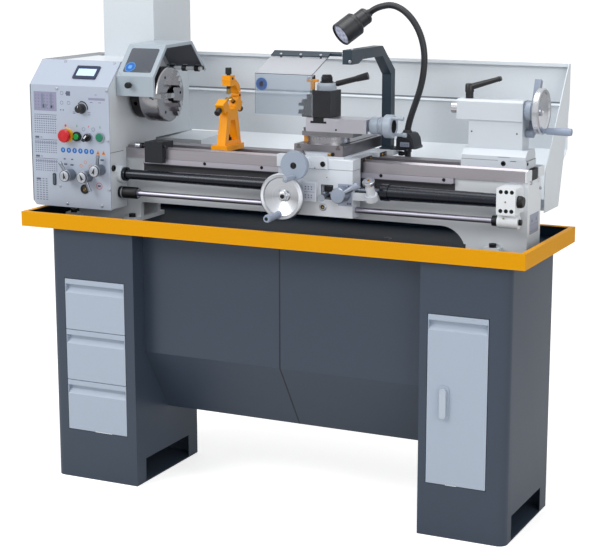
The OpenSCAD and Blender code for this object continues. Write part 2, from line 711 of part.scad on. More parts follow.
module jaw(a) {
  w = jaw_w / 2;
  t = w * 0.577;
  color("#d5d8dc") translate([0, axis_y, axis_z]) rotate([a, 0, 0]) {
    difference() {
      union() {
        run_x(chuck_x1 - 23.6, chuck_x1 + 9) polygon([[22, 0], [22 + t, -w], [72, -w], [72, w], [22 + t, w]]);
        run_x(chuck_x1, chuck_x1 + 18) polygon([[22, 0], [22 + t, -w], [56, -w], [56, w], [22 + t, w]]);
        run_x(chuck_x1, chuck_x1 + 27) polygon([[22, 0], [22 + t, -w], [40, -w], [40, w], [22 + t, w]]);
        block([chuck_x1 - 16.7, 28, -w - 2.7], [chuck_x1 - 10.3, 72, w + 2.7]);
      }
      for (k = [0:4]) block([chuck_x1 - 24, 30 + 8 * k, -w - 1], [chuck_x1 - 20, 33 + 8 * k, w + 1]);
    }
  }
}
module jaw_1() {
  jaw(jaw_a[0]);
}
module jaw_2() {
  jaw(jaw_a[1]);
}
module jaw_3() {
  jaw(jaw_a[2]);
}
// Folded guard over the chuck, on three knuckles
module chuck_guard() {
  p = [[axis_y + 184, axis_z + 60], [axis_y + 101, axis_z + 149], [axis_y - 51, axis_z + 146],
    [axis_y - 127, axis_z + 60], [axis_y - 127, axis_z + 3]];
  x0 = head_x + 2;
  u = unit(p[0] - p[1]);
  n = [-u[1], u[0]];
  c = [hood_y, hood_z];
  q = (p[0] - c) * n;
  color("#c3cacf") difference() {
    union() {
      run_x(x0, hood_x1) strip(p, hood_t);
      run_x(x0, x0 + 2) strip(p, 12);
      run_x(hood_x1 - 2, hood_x1) strip(p, 9);
      for (x = [x0 + 12, x0 + 54, hood_x1 - 26]) {
        bar_x(x, x + 14, hood_y, hood_z, 9);
        run_x(x, x + 14) polygon([c - 6 * u, c + 6 * u, c + 6 * u + (q - 1) * n, c - 6 * u + (q - 1) * n]);
      }
    }
    bar_x(x0 - 1, hood_x1 + 1, hood_y, hood_z, 6 + run_gap);
  }
}

// ---------------------------------------------------------------- feed shafts
module leadscrew() {
  x0 = head_x - 50;
  color("#9a9fa5") spun_x(x0, screw_y, screw_z, [[0, 0], [screw_r, 0], [screw_r, brk_x + 52.6 - x0],
    [16, brk_x + 52.6 - x0], [16, brk_x + 62 - x0], [13, brk_x + 68 - x0], [0, brk_x + 68 - x0]]);
}
module feed_rod() {
  x0 = head_x - 58;
  color("#c6cad0") spun_x(x0, screw_y, feed_z, [[0, 0], [12, 0], [12, 60], [17, 60], [17, 116], [14, 122],
    [feed_r, 122], [feed_r, brk_x - 16 - x0], [14, brk_x - 16 - x0], [14, brk_x - 0.4 - x0],
    [feed_r, brk_x - 0.4 - x0], [feed_r, brk_x + 62 - x0], [0, brk_x + 62 - x0]]);
}
// Spring steel cover of the leadscrew, wound in telescoping turns
module screw_cover(x0, x1, r0, r1, turns) {
  dx = (x1 - x0) / turns;
  dr = (r1 - r0) / turns;
  ri = screw_r + 1;
  spun_x(x0, screw_y, screw_z, concat([[ri, 0]],
    [for (i = [0:turns - 1], k = [0, 1]) [r0 + dr * i, dx * (i + k)]], [[ri, x1 - x0]]));
}
module cover_left() {
  color("#23262b") {
    screw_cover(head_x + 16.4, head_x + 26, 20, 20.5, 1);
    screw_cover(head_x + 26.3, apron_x0 - 14, 14.5, 18, 8);
    screw_cover(apron_x0 - 13.7, apron_x0 - 0.4, 21, 21, 1);
  }
}
module cover_right() {
  color("#23262b") {
    screw_cover(apron_x1 + 76, apron_x1 + 98, 23, 23, 1);
    screw_cover(apron_x1 + 98.3, brk_x - 0.4, 20.5, 17.5, 7);
  }
}

// ---------------------------------------------------------------- carriage
module saddle() {
  g = slide_gap;
  color("#eceff0") {
    difference() {
      union() {
        // Front wing over the vee and rear wing over the flat way
        run_x(sad_x0, sad_x1) polygon([[sad_y0, lip_z], [way_y0 - g, lip_z], [way_y0 - g, way_z + g],
          [vee_y - vee_w / 2 - g, way_z + g], [vee_y - 2 - g, way_z + vee_h + g],
          [vee_y + 2 + g, way_z + vee_h + g], [vee_y + vee_w / 2 + g, way_z + g],
          [way_y0 + way_w, way_z + g], [way_y0 + way_w, sad_z], [sad_y0 + 3, sad_z], [sad_y0, sad_z - 3]]);
        run_x(sad_x0, sad_x1) polygon([[way_y1 - way_w, way_z + g], [way_y1 + g, way_z + g],
          [way_y1 + g, way_z - way_t - g], [way_y1 - 14, way_z - way_t - g],
          [way_y1 - 14, way_z - way_t - 12], [sad_y1, way_z - way_t - 12], [sad_y1, sad_z],
          [way_y1 - way_w, sad_z]]);
        // Bridge with the cross slide dovetail
        block([cross_x0 - 8, way_y0 + way_w - 2, way_z + g], [cross_x0 + cross_w + 8, way_y1 - way_w + 2, sad_z]);
        block([cross_x0 - 4, sad_y0 + 6, sad_z - 1], [cross_x0 + cross_w + 4, sad_y1, bridge_z]);
        run_y(sad_y0 + 12, sad_y1) polygon([[saddle_x - 40, bridge_z - 1], [saddle_x - 40, bridge_z],
          [saddle_x - 47, cs_z + 17], [saddle_x + 47, cs_z + 17], [saddle_x + 40, bridge_z],
          [saddle_x + 40, bridge_z - 1]]);
        // Boss of the cross feed screw
        intersection() {
          bar_y(sad_y0 - 14, sad_y0 + 20, cw_x, cw_z, 24);
          block([cw_x - 40, sad_y0 - 20, lip_z], [cw_x + 40, sad_y0 + 30, sad_z + 1]);
        }
        // Thick front of the cross feed screw housing, rounded at its right end
        run_y(sad_y0 - 5, sad_y0 + 20) polygon(concat([[sad_x0, bridge_z - 0.5], [sad_x0, lip_z],
          [saddle_x + 33, lip_z]], arc(saddle_x + 19, bridge_z - 14.5, 14, 0, 90, 6)));
        // Lug behind the rear way for the shield post and the lamp
        block([arm_x0 - 14, sad_y1 - 2, way_z - 1], [sad_x1 + 21, arm_y1 + 4, sad_z]);
      }
      bar_y(sad_y0 - 20, sad_y0 + 56, cw_x, cw_z, 6 + run_gap);
    }
  }
}
cw_x = cross_x0 + 32;
cw_z = sad_z - 15;
// The dial passes under the cross slide
cd_r = bridge_z - cw_z - 0.2;
arm_y1 = axis_y + 151;
module apron() {
  y1 = way_y0 - 10;
  dy = sad_y0 - 2;
  color("#eceff0") {
    difference() {
      union() {
        block([apron_x0, sad_y0, apron_z], [apron_x1, y1, lip_z]);
        // Direction plate box
        block([apron_x0 + 80, sad_y0 - 12, apron_z + 41], [apron_x0 + 121, sad_y0 + 5, apron_z + 94]);
      }
      block([apron_x0 + 10, sad_y0 + 24, apron_z + 10], [apron_x1 - 10, y1 - 6, lip_z - 10]);
      bar_x(apron_x0 - 5, apron_x1 + 5, screw_y, screw_z, screw_r + 0.5);
      bar_x(apron_x0 - 5, apron_x1 + 5, screw_y, feed_z, feed_r + 0.5);
      bar_y(sad_y0 - 1, sad_y0 + 40, wheel_x, wheel_z, 8 + run_gap);
      bar_y(sad_y0 - 1, sad_y0 + 13, hub_x, hub_z, 8 + run_gap);
      block([apron_x0 + 133, sad_y0 - 1, apron_z + 50], [apron_x0 + 164, sad_y0 + 20, apron_z + 85]);
    }
    // Body of the thread dial beside the apron
    block([apron_x1, sad_y0 + 3, apron_z + 50], [dial_x - 4, sad_y0 + 13, apron_z + 70]);
    difference() {
      translate([dial_x, dial_y, dial_z]) rotate([26, 0, 0]) {
        cylinder(h = 18, r = 17);
        translate([0, 0, 17]) cylinder(h = 35, r = 12);
      }
      translate([dial_x, dial_y, dial_z]) rotate([26, 0, 0]) translate([0, 0, 20]) cylinder(h = 38, r = 5.1);
      bar_x(dial_x - 40, dial_x + 40, screw_y, screw_z, screw_r + 0.8);
    }
  }
}
dial_y = sad_y0 + 5;
dial_z = apron_z + 54;
module thread_dial() {
  color("#d9dde0") translate([dial_x, dial_y, dial_z]) rotate([26, 0, 0]) {
    translate([0, 0, 21]) cylinder(h = 34, r = 5);
    translate([0, 0, 52.4]) cylinder(h = 8, r = 17);
    translate([0, 0, 60]) cylinder(h = 3, r1 = 16.5, r2 = 15);
  }
}
module carriage_wheel() {
  r = wheel_r;
  color("#c5c9ce") {
    spun_y(wheel_x, sad_y0, wheel_z, [[0, 13], [8, 13], [8, -1], [19, -1], [19, -12], [r - 12, -31],
      [r - 2, -30], [r, -32], [r, -39], [r - 3, -42], [r - 11, -42], [r - 13, -38], [16, -25], [12, -26],
      [12, -31], [10, -32], [0, -32]]);
    spun_y(wheel_x - 10, sad_y0, wheel_z - 51, [[0, -38], [8, -38], [8, -46], [7, -47], [9.5, -56],
      [11, -104], [9.5, -110], [0, -111]]);
  }
}
module halfnut_lever() {
  color("#b9bec4") {
    spun_y(hub_x, sad_y0, hub_z, [[0, 12], [8, 12], [8, -0.6], [21.5, -0.6], [21.5, -38], [20, -40], [0, -40]]);
    translate([hub_x, sad_y0 - 30, hub_z]) rotate([0, 61, 0]) cylinder(h = 58, r1 = 5.5, r2 = 9);
  }
}
module feed_lever() {
  x = apron_x0 + 148.5;
  y = sad_y0 + 7;
  z = apron_z + 64;
  color("#b9bec4") {
    bar_x(x - 15.2, x + 15.2, y, z, 4);
    translate([x, y, z]) rotate([99, 0, 0]) {
      cylinder(h = 32, r = 5);
      translate([0, 0, 30]) cylinder(h = 16, r1 = 8, r2 = 10);
    }
  }
}
module guard_post() {
  x0 = arm_x0;
  x1 = arm_x1;
  y1 = arm_y1;
  y0 = y1 - 28;
  f = rod_y - 9;
  zb = axis_z + 83;
  za = axis_z + 155;
  color("#2b3b48") {
    block([x0 - 2, y0 - 9, sad_z], [x1 + 2, y1 + 4, sad_z + 5]);
    difference() {
      run_x(x0, x1) polygon([[y0, sad_z + 4], [y1, sad_z + 4], [y1, zb], [y1 - 91, za], [f, za],
        [f, za - 38], [f + 44, za - 38], [f + 73, za - 28], [y1 - 91, za - 28], [y0, zb - 12]]);
      bar_x(x0 - 1, rod_x1, rod_y, rod_z, 6 + run_gap);
    }
  }
}
rod_x1 = arm_x0 + 22;
rod_x0 = arm_x0 - 206;
module shield_rod() {
  color("#2b3b48") {
    bar_x(rod_x0, rod_x1 - 0.6, rod_y, rod_z, 6);
    // Clamp strip over the pane
    u = unit(pane_pts[1] - pane_pts[0]);
    a = pane_pts[0] - 3.3 * left(u);
    run_x(rod_x0, arm_x0 - 36) polygon([[rod_y - 3, rod_z - 1], a, a + 14 * u, a + 14 * u - 3 * left(u),
      [rod_y - 1, rod_z + 5.6]]);
  }
}
pane_pts = [[rod_y - 8, rod_z - 6], [rod_y - 116, rod_z - 49], [rod_y - 116, rod_z - 155]];
module shield() {
  color("#b9c4cf", 0.45) run_x(rod_x0, arm_x0 - 38) strip(pane_pts, -3);
}
// Curve of the lamp neck in X and Z
function bez(a, b, c, d, t) =
  a * pow(1 - t, 3) + 3 * b * t * pow(1 - t, 2) + 3 * c * t * t * (1 - t) + d * pow(t, 3);
lamp_y = axis_y + 133;
module work_lamp() {
  lx = sad_x1 + 54;
  p0 = [lx - 8, sad_z + 50];
  p1 = [lx + 40, sad_z + 250];
  p2 = [lx - 75, sad_z + 402];
  p3 = [lx - 128, sad_z + 380];
  k = concat([for (i = [0:6]) bez(p0, p0 + [10, 70], p1 - [2, 90], p1, i / 6)],
    [for (i = [1:6]) bez(p1, p1 + [2, 95], p2 + [50, 8], p2, i / 6)],
    [for (i = [1:3]) bez(p2, p2 - [22, 4], p3 + [18, 14], p3, i / 3)]);
  color("#202327") {
    // Transformer base on its bracket
    block([sad_x1 + 3, lamp_y - 24, sad_z], [sad_x1 + 53, lamp_y + 18, sad_z + 5]);
    run_y(lamp_y - 30, lamp_y + 30) polygon([[lx - 41, sad_z + 5], [lx + 44, sad_z + 5], [lx + 44, sad_z + 12],
      [lx + 38, sad_z + 14], [lx + 30, sad_z + 38], [lx + 16, sad_z + 48], [lx - 26, sad_z + 48],
      [lx - 41, sad_z + 34]]);
    bar_z(sad_z - 26, sad_z + 6, lx - 6, lamp_y, 9);
    bar_z(sad_z + 47, sad_z + 55, lx - 8, lamp_y, 12);
    for (i = [0:len(k) - 2]) {
      v = k[i + 1] - k[i];
      translate([k[i][0], lamp_y, k[i][1]]) rotate([0, atan2(v[0], v[1]), 0]) cylinder(h = norm(v), r = 7.5);
      if (i > 0) translate([k[i][0], lamp_y, k[i][1]]) sphere(r = 7.65);
    }
    // Lamp head
    translate([p3[0], lamp_y, p3[1]]) rotate([0, -128.3, 0]) rotate_extrude() polygon([[0, 0], [9, 0],
      [10, 7], [20, 9], [24, 13], [24, 48], [31, 50], [34.5, 54], [34.5, 109], [31, 110], [31, 106], [0, 106]]);
  }
}
module cross_slide() {
  x0 = cross_x0;
  x1 = cross_x0 + cross_w;
  zb = bridge_z + slide_gap;
  g = slide_gap;
  h = cs_z + 17 + g;
  t = cross_z1;
  color("#8d8a88") difference() {
    run_y(cross_y0, cross_y1) polygon([[x0, zb], [saddle_x - 40 - g, zb], [saddle_x - 47 - 1.3 * g, h],
      [saddle_x + 47 + 1.3 * g, h], [saddle_x + 40 + g, zb], [x1, zb], [x1, t - 1], [x1 - 1, t],
      [x0 + 1, t], [x0, t - 1]]);
    // Two slots for tee nuts
    for (x = [x0 + 14, x1 - 14]) {
      block([x - 4, cross_y0 - 1, t - 7], [x + 4, cross_y1 + 1, t + 1]);
      block([x - 7, cross_y0 - 1, t - 12], [x + 7, cross_y1 + 1, t - 6.5]);
    }
  }
}
module cross_wheel() {
  color("#b4bcc8") {
    spun_y(cw_x, sad_y0 - 14, cw_z, [[0, 66], [6, 66], [6, -1], [cd_r, -1], [cd_r, -16], [14, -18], [14, -34],
      [36, -34], [40, -37], [40, -47], [38, -50], [9, -50], [9, -46], [0, -46]]);
    spun_y(cw_x + 3, sad_y0 - 14, cw_z - 31, [[0, -48], [5, -48], [5, -56], [7, -60], [8, -104],
      [6.5, -110], [0, -111]]);
  }
}
module swivel_base() {
  color("#a5a6aa") {
    bar_z(cross_z1, swivel_z1 + 1, swivel_x, swivel_y, swivel_r);
    block([swivel_x - 66, swivel_y - 32, swivel_z1], [swivel_x + 87, swivel_y + 32, base_z1]);
    run_x(swivel_x - 66, swivel_x + 87) polygon([[swivel_y - 20, base_z1 - 1], [swivel_y - 20, base_z1],
      [swivel_y - 25, base_z1 + 9], [swivel_y + 25, base_z1 + 9], [swivel_y + 20, base_z1],
      [swivel_y + 20, base_z1 - 1]]);
    // Zero mark
    block([swivel_x - swivel_r - 8, swivel_y - 17, cross_z1], [swivel_x - swivel_r + 6, swivel_y - 7, swivel_z1]);
  }
}
module top_slide() {
  g = slide_gap;
  y0 = swivel_y - 35;
  y1 = swivel_y + 35;
  zb = base_z1 + g;
  color("#b6b8be") {
    difference() {
      run_x(top_x0, top_x0 + top_l) polygon([[y0, zb], [swivel_y - 20 - g, zb],
        [swivel_y - 25 - 1.3 * g, base_z1 + 9 + g], [swivel_y + 25 + 1.3 * g, base_z1 + 9 + g],
        [swivel_y + 20 + g, zb], [y1, zb], [y1, top_z1], [y0, top_z1]]);
      bar_x(top_x0 + top_l - 30, top_x0 + top_l + 1, swivel_y, tw_z, 6 + run_gap);
      // Slot for the nut of the tool post stud
      block([post_x - 22, y0 - 1, top_z1 - 9], [post_x + 10, y0 + 60, top_z1 + 1]);
      block([post_x - 30, y0 - 1, top_z1 - 15], [post_x + 18, y0 + 60, top_z1 - 9]);
    }
    // The nut, drawn up against the shoulders of its slot
    block([post_x - 21.6, y0 + 1, top_z1 - 10], [post_x + 9.6, y0 + 58, top_z1 - 0.5]);
    block([post_x - 29.6, y0 + 1, top_z1 - 14.6], [post_x + 17.6, y0 + 58, top_z1 - 9]);
  }
}
module top_wheel() {
  x0 = top_x0 + top_l;
  color("#b4bcc8") {
    spun_x(x0, swivel_y, tw_z, [[0, -28], [6, -28], [6, 0.6], [20, 0.6], [20, 3], [24, 4], [24, 26],
      [22, 27], [22, 29], [24, 30], [24, 40], [20, 41], [20, 42.6], [30, 43], [32, 45], [32, 64], [29, 67],
      [18, 67], [18, 57], [0, 57]]);
    for (s = [-1, 1]) spun_x(x0, swivel_y - 10 * s, tw_z + 23 * s, [[0, 65], [4.5, 65], [4.5, 88], [6, 90],
      [6, 99], [0, 99]]);
  }
}
module tool_post() {
  z0 = top_z1 + 0.3;
  x0 = post_x - post_w / 2;
  color("#3a3c40") {
    block([x0, post_y - 35, z0], [x0 + post_w, post_y + 35, post_z1]);
    // Tool holder on the left face
    difference() {
      run_y(post_y - 33, post_y + 27) polygon([[x0 - 0.3, z0], [x0 - 0.3, z0 + 62], [x0 - 18, z0 + 62],
        [x0 - 18, z0 + 48], [x0 - 33, z0 + 48], [x0 - 33, z0 + 38], [x0 - 43, z0 + 38], [x0 - 43, z0 + 30],
        [x0 - 28, z0 + 30], [x0 - 28, z0 + 19], [x0 - 43, z0 + 19], [x0 - 43, z0 + 8], [x0 - 33, z0 + 8],
        [x0 - 33, z0]]);
      for (y = [-22, -8, 6, 18]) bar_z(z0 + 36, z0 + 60, x0 - 36, post_y + y, 3);
    }
    // Height screw and its knurled nut
    bar_z(z0 + 61.5, z0 + 94, x0 - 10, post_y - 6, 3.5);
    bar_z(z0 + 64, z0 + 71, x0 - 10, post_y - 6, 9.5);
  }
}
module post_lever() {
  z = post_z1 + 0.4;
  color("#9aa0a8") {
    spun_z(post_x, post_y, z, [[0, 0], [27, 0], [27, 14], [23, 20], [15, 20], [15, 36], [12, 42], [0, 42]]);
    translate([post_x, post_y, z + 10]) rotate([0, 75, 11]) {
      cylinder(h = 88, r = 6);
      translate([0, 0, 86]) cylinder(h = 34, r1 = 8.5, r2 = 10.5);
    }
  }
}
module spun_z(x, y, z, pts) {
  translate([x, y, z]) rotate_extrude() polygon(pts);
}

// ---------------------------------------------------------------- tailstock
module tailstock() {
  g = slide_gap;
  y = axis_y;
  color("#eceff0") {
    // Base that rides on the ways
    difference() {
      union() {
        block([tail_x0, y - 42, way_z + g], [tail_x1, y + 43, way_z + 22]);
        block([tail_x0 + 10, way_y0 + way_w + g, way_z - 8], [tail_x1 - 12, way_y1 - way_w - g, way_z + 1]);
      }
      bar_y(y - 43, y - 20, tail_x0 + 119, way_z + 14, 7);
    }
    // Body
    difference() {
      union() {
        run_x(tail_x0 + 2, tail_x1 - 2) polygon([[y - 42, way_z + 22.3], [y + 43, way_z + 22.3],
          [y + 43, way_z + 34], [y + 34, way_z + 49], [y - 24, way_z + 49], [y - 42, way_z + 33]]);
        block([tail_x0 + 13, y - 22, way_z + 48], [barrel_x1 - 1, y + 35, axis_z - 10]);
        run_x(barrel_x0, barrel_x1) polygon([[y - 27, axis_z - 27], [y + 27, axis_z - 27], [y + 27, axis_z + 19],
          [y + 19, axis_z + 27], [y - 21, axis_z + 27], [y - 27, axis_z + 21]]);
      }
      bar_x(barrel_x0 - 1, barrel_x1 + 1, y, axis_z, quill_r + run_gap);
      bar_z(axis_z + 20, axis_z + 30, barrel_x0 + 26, y, 6 + run_gap);
      bar_x(tail_x1 - 40, tail_x1 - 10, y + 8, axis_z - 60, 8 + run_gap);
    }
  }
}
module quill() {
  x0 = barrel_x0 - 22;
  color("#cfd3d8") spun_x(x0, axis_y, axis_z, [[9, 0], [quill_r - 1, 0], [quill_r, 1], [quill_r, 190],
    [8.7, 190], [8.7, 90], [7.2, 80], [7.2, 66]]);
}
module tail_wheel() {
  r = tail_r;
  color("#c5c9ce") {
    spun_x(barrel_x1, axis_y, axis_z, [[0, -70], [7.5, -70], [7.5, 0.6], [25, 0.6], [25, 18], [22, 20],
      [14, 22], [16, 26], [r - 12, 36], [r - 2, 34], [r, 36], [r, 48], [r - 3, 51], [r - 10, 51],
      [r - 12, 46], [16, 33], [12, 34], [12, 44], [0, 45]]);
    spun_x(barrel_x1, axis_y, axis_z - r + 10, [[0, 46], [6.4, 46], [6.4, 56], [9, 60],
      [10.5, 118], [9, 126], [0, 127]]);
  }
}
module quill_lock() {
  x = barrel_x0 + 26;
  color("#1c1e21") {
    spun_z(x, axis_y, axis_z + 20.4, [[0, 0], [6, 0], [6, 7], [10.5, 7], [10.5, 22], [12, 24], [12, 42],
      [10, 46], [0, 46]]);
    translate([x, axis_y, axis_z + 56]) rotate([0, 73, 0]) {
      cylinder(h = 86, r1 = 9, r2 = 6.5);
      translate([0, 0, 84]) cylinder(h = 8, r1 = 7.5, r2 = 6);
    }
  }
}
module clamp_lever() {
  y = axis_y + 8;
  z = axis_z - 60;
  x = tail_x1 - 17;
  color("#9ba1aa") {
    bar_x(x - 18, x + 0.6, y, z, 8);
    bar_x(x + 0.4, x + 20, y, z, 12);
    translate([0, y, z]) rotate([-20, 0, 0]) block([x + 3, 0, 0], [x + 20, 18, 148]);
  }
}

// ---------------------------------------------------------------- steady rest
function sector(a0, a1, r0, r1) = concat(arc(axis_y, axis_z, r1, a0, a1, 12), arc(axis_y, axis_z, r0, a1, a0, 12));
module finger_hole(a) {
  translate([st_x, axis_y, axis_z]) rotate([a - 90, 0, 0]) cylinder(h = 120, r = 6 + run_gap);
}
module finger_block(a, r0, r1) {
  translate([0, axis_y, axis_z]) rotate([a - 90, 0, 0]) block([st_x - st_t / 2, -14, r0], [st_x + st_t / 2, 14, r1]);
}
// Hinge of the arch at the back of the ring
pin_a = 3;
st_pin = [axis_y, axis_z] + (st_r + st_R) / 2 * [cos(pin_a), sin(pin_a)];
module steady_base() {
  x0 = st_x - st_t / 2;
  x1 = st_x + st_t / 2;
  y = axis_y;
  g = slide_gap;
  color("#f29a05") {
    difference() {
      union() {
        run_x(x0, x1) polygon(sector(202, 340, st_r, st_R));
        finger_block(210, st_r - 4, st_R + 10);
        finger_block(330, st_r - 4, st_R + 10);
        run_x(x0, x1) polygon([[y - 50, way_z + 14], [y - 30, axis_z - 42], [y + 30, axis_z - 42],
          [y + 50, way_z + 14]]);
        block([st_x - 31, y - 52, way_z + g], [st_x + 21, y + 52, way_z + 16]);
        for (x = [x0, x1 - 6]) run_x(x, x + 6) polygon(concat(arc(st_pin[0], st_pin[1], 8, 0, 180, 8),
          sector(pin_a - 3, pin_a - 21, st_r + 1, st_R - 1)));
        for (x = [x0, x1 - 6]) bar_x(x, x + 6, st_pin[0], st_pin[1], 8);
        bar_x(x0, x1, st_pin[0], st_pin[1], 4);
      }
      run_x(x0 - 1, x1 + 1) polygon([[y - 28, way_z + 28], [y - 14, axis_z - 66], [y + 14, axis_z - 66],
        [y + 28, way_z + 28]]);
      finger_hole(210);
      finger_hole(330);
    }
  }
}
module steady_arch() {
  x0 = st_x - st_t / 2;
  x1 = st_x + st_t / 2;
  color("#f29a05") difference() {
    union() {
      run_x(x0, x1) polygon(sector(pin_a + 13, 108, st_r, st_R));
      finger_block(90, st_r - 4, st_R + 10);
      run_x(x0 + 6.3, x1 - 6.3) polygon(sector(pin_a + 2, pin_a + 14, st_r + 1, st_R - 1));
      bar_x(x0 + 6.3, x1 - 6.3, st_pin[0], st_pin[1], 8);
    }
    bar_x(x0, x1, st_pin[0], st_pin[1], 4 + run_gap);
    finger_hole(90);
  }
}
module finger(a) {
  color("#2a2c30") translate([st_x, axis_y, axis_z]) rotate([a - 90, 0, 0]) rotate_extrude()
    polygon([[0, 7], [4, 9], [6, 9], [6, 66], [9, 66], [9, 82], [7.5, 84], [0, 84]]);
}
module finger_1() {
  finger(90);
}
module finger_2() {
  finger(210);
}
module finger_3() {
  finger(330);
}
module bed_stop() {
  x0 = head_x + 75;
  x1 = head_x + 134;
  g = slide_gap;
  color("#2b2d31") {
    difference() {
      run_x(x0, x1) polygon([[way_y0 - 20, way_z - 38], [way_y0 - g - 3, way_z - 38], [way_y0 - g - 3, way_z - 27],
        [way_y0 - g, way_z - 27], [way_y0 - g, way_z + g], [vee_y - vee_w / 2 - g, way_z + g],
        [vee_y - 2 - g, way_z + vee_h + g], [vee_y + 2 + g, way_z + vee_h + g],
        [vee_y + vee_w / 2 + g, way_z + g], [way_y0 + 44, way_z + g], [way_y0 + 44, way_z + 22],
        [way_y0 - 20, way_z + 22]]);
      bar_z(way_z + 14, way_z + 30, (x0 + x1) / 2, way_y0 - 8, 5);
    }
    // Graduated stop screw
    spun_x(x0 - 34, way_y0 - 9, way_z + 9, [[0, 0], [9, 0], [9, 12], [8, 13], [8, 24], [5, 24], [5, 34.5],
      [0, 34.5]]);
    spun_x(x1, way_y0 - 9, way_z + 9, [[0, -0.5], [5, -0.5], [5, 8], [0, 8]]);
  }
}

// Show one node or all of them
stand();
chip_tray();
tray_band();
bed();
black_trim();
headstock();
front_plate();
sheet_housings();
splash_guard();
drawer_top();
drawer_middle();
drawer_bottom();
door();
door_latch();
stop_button();
start_button();
feed_button();
mode_selector();
speed_knob();
lever_left();
lever_middle();
lever_right();
spindle();
chuck_body();
jaw_1();
jaw_2();
jaw_3();
chuck_guard();
leadscrew();
feed_rod();
cover_left();
cover_right();
saddle();
apron();
guard_post();
work_lamp();
carriage_wheel();
halfnut_lever();
feed_lever();
thread_dial();
shield_rod();
shield();
cross_slide();
cross_wheel();
swivel_base();
top_slide();
top_wheel();
tool_post();
post_lever();
tailstock();
quill();
tail_wheel();
quill_lock();
clamp_lever();
steady_base();
steady_arch();
finger_1();
finger_2();
finger_3();
bed_stop();
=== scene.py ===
"""Engine lathe on its cabinet stand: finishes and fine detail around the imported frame.
Tables of places and the shape functions are in millimetres of the shared frame. The studio at
the end is in metres."""

import math
from functools import partial

import bmesh
import bpy
import numpy as np
from mathutils import Matrix, Vector


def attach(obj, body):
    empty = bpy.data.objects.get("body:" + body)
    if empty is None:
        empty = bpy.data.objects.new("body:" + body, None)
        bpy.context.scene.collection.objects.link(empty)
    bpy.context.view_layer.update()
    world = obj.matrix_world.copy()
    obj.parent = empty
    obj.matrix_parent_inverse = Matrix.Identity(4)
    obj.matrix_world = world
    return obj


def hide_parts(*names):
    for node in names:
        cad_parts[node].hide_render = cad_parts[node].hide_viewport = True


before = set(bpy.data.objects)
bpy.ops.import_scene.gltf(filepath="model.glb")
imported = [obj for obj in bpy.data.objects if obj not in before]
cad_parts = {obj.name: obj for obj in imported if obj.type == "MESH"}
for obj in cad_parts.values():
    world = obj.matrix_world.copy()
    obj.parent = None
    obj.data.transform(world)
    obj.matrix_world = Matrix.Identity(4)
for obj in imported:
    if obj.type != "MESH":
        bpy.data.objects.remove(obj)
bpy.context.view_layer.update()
MM = 0.001
PER_METRE = 1000
FAR = 9000
X = np.array([1.0, 0, 0])
Y = np.array([0, 1.0, 0])
Z = np.array([0, 0, 1.0])
AXIS = (0, 17, 1137)
WHITE = "#d6dce4"


# ------------------------------------------------------------------ materials
def linear(code):
    """Hex colour to linear light: a straight part below 0.04045, a power of 2.4 above it."""
    v = np.array([int(code[i:i + 2], 16) / 255 for i in (1, 3, 5)])
    v = np.where(v <= 0.04045, v / 12.92, ((v + 0.055) / 1.055) ** 2.4)
    return (*v.tolist(), 1.0)


def empty_tree(owner):
    """The emptied node tree of a material or world."""
    owner.use_nodes = True
    owner.node_tree.nodes.clear()
    return owner.node_tree


def add(tree, kind, inputs=(), **settings):
    """Adds one node, sets its properties, fills its inputs with constants or with the outputs of
    other nodes, and returns its first output."""
    node = tree.nodes.new("ShaderNode" + kind)
    for key, value in settings.items():
        setattr(node, key, value)
    for key, value in dict(inputs).items():
        if isinstance(value, bpy.types.NodeSocket):
            tree.links.new(value, node.inputs[key])
        else:
            node.inputs[key].default_value = value
    return node.outputs[0] if node.outputs else node


def maths(tree, operation, *terms):
    """The number that a Math node makes of its terms."""
    return add(tree, "Math", enumerate(terms), operation=operation)


def vector(tree, operation, *terms):
    """What a VectorMath node makes of its terms: a vector, or the number of a length or product."""
    made = add(tree, "VectorMath", enumerate(terms), operation=operation)
    return made.node.outputs[1] if operation in ("LENGTH", "DOT_PRODUCT") else made


def blend(tree, share, a, b, kind="FLOAT"):
    """a where share is 0 and b where it is 1, for numbers or for RGBA colours."""
    first, out = (6, 2) if kind == "RGBA" else (2, 0)
    made = add(tree, "Mix", {0: share, first: a, first + 1: b}, data_type=kind)
    return made.node.outputs[out]


def distance_past(tree, place, low, high):
    """How far a point lies past the faces of a box: the largest of |p - centre| - half."""
    low, high = np.array(low) * MM, np.array(high) * MM
    v = vector(tree, "ABSOLUTE", vector(tree, "SUBTRACT", place, (low + high) / 2))
    v = vector(tree, "SUBTRACT", v, (high - low) / 2)
    part = add(tree, "SeparateXYZ", {0: v}).node.outputs
    return maths(tree, "MAXIMUM", maths(tree, "MAXIMUM", part[0], part[1]), part[2])


def from_axis(tree, place, centre, axis):
    """Distance of a point from a line along axis through centre."""
    v = vector(tree, "SUBTRACT", place, np.array(centre) * MM)
    return vector(tree, "LENGTH", vector(tree, "CROSS_PRODUCT", v, axis))


def inside(tree, place, zone):
    """1 in a zone and 0 out of it. A zone is a box (low, high) or a tube (centre, axis, r0, r1)."""
    if len(zone) == 2:
        return maths(tree, "LESS_THAN", distance_past(tree, place, *zone), 0.0)
    centre, axis, r0, r1 = zone
    r = from_axis(tree, place, centre, axis)
    past_hole = maths(tree, "GREATER_THAN", r, r0 * MM)
    within = maths(tree, "LESS_THAN", r, r1 * MM)
    return maths(tree, "MULTIPLY", past_hole, within)


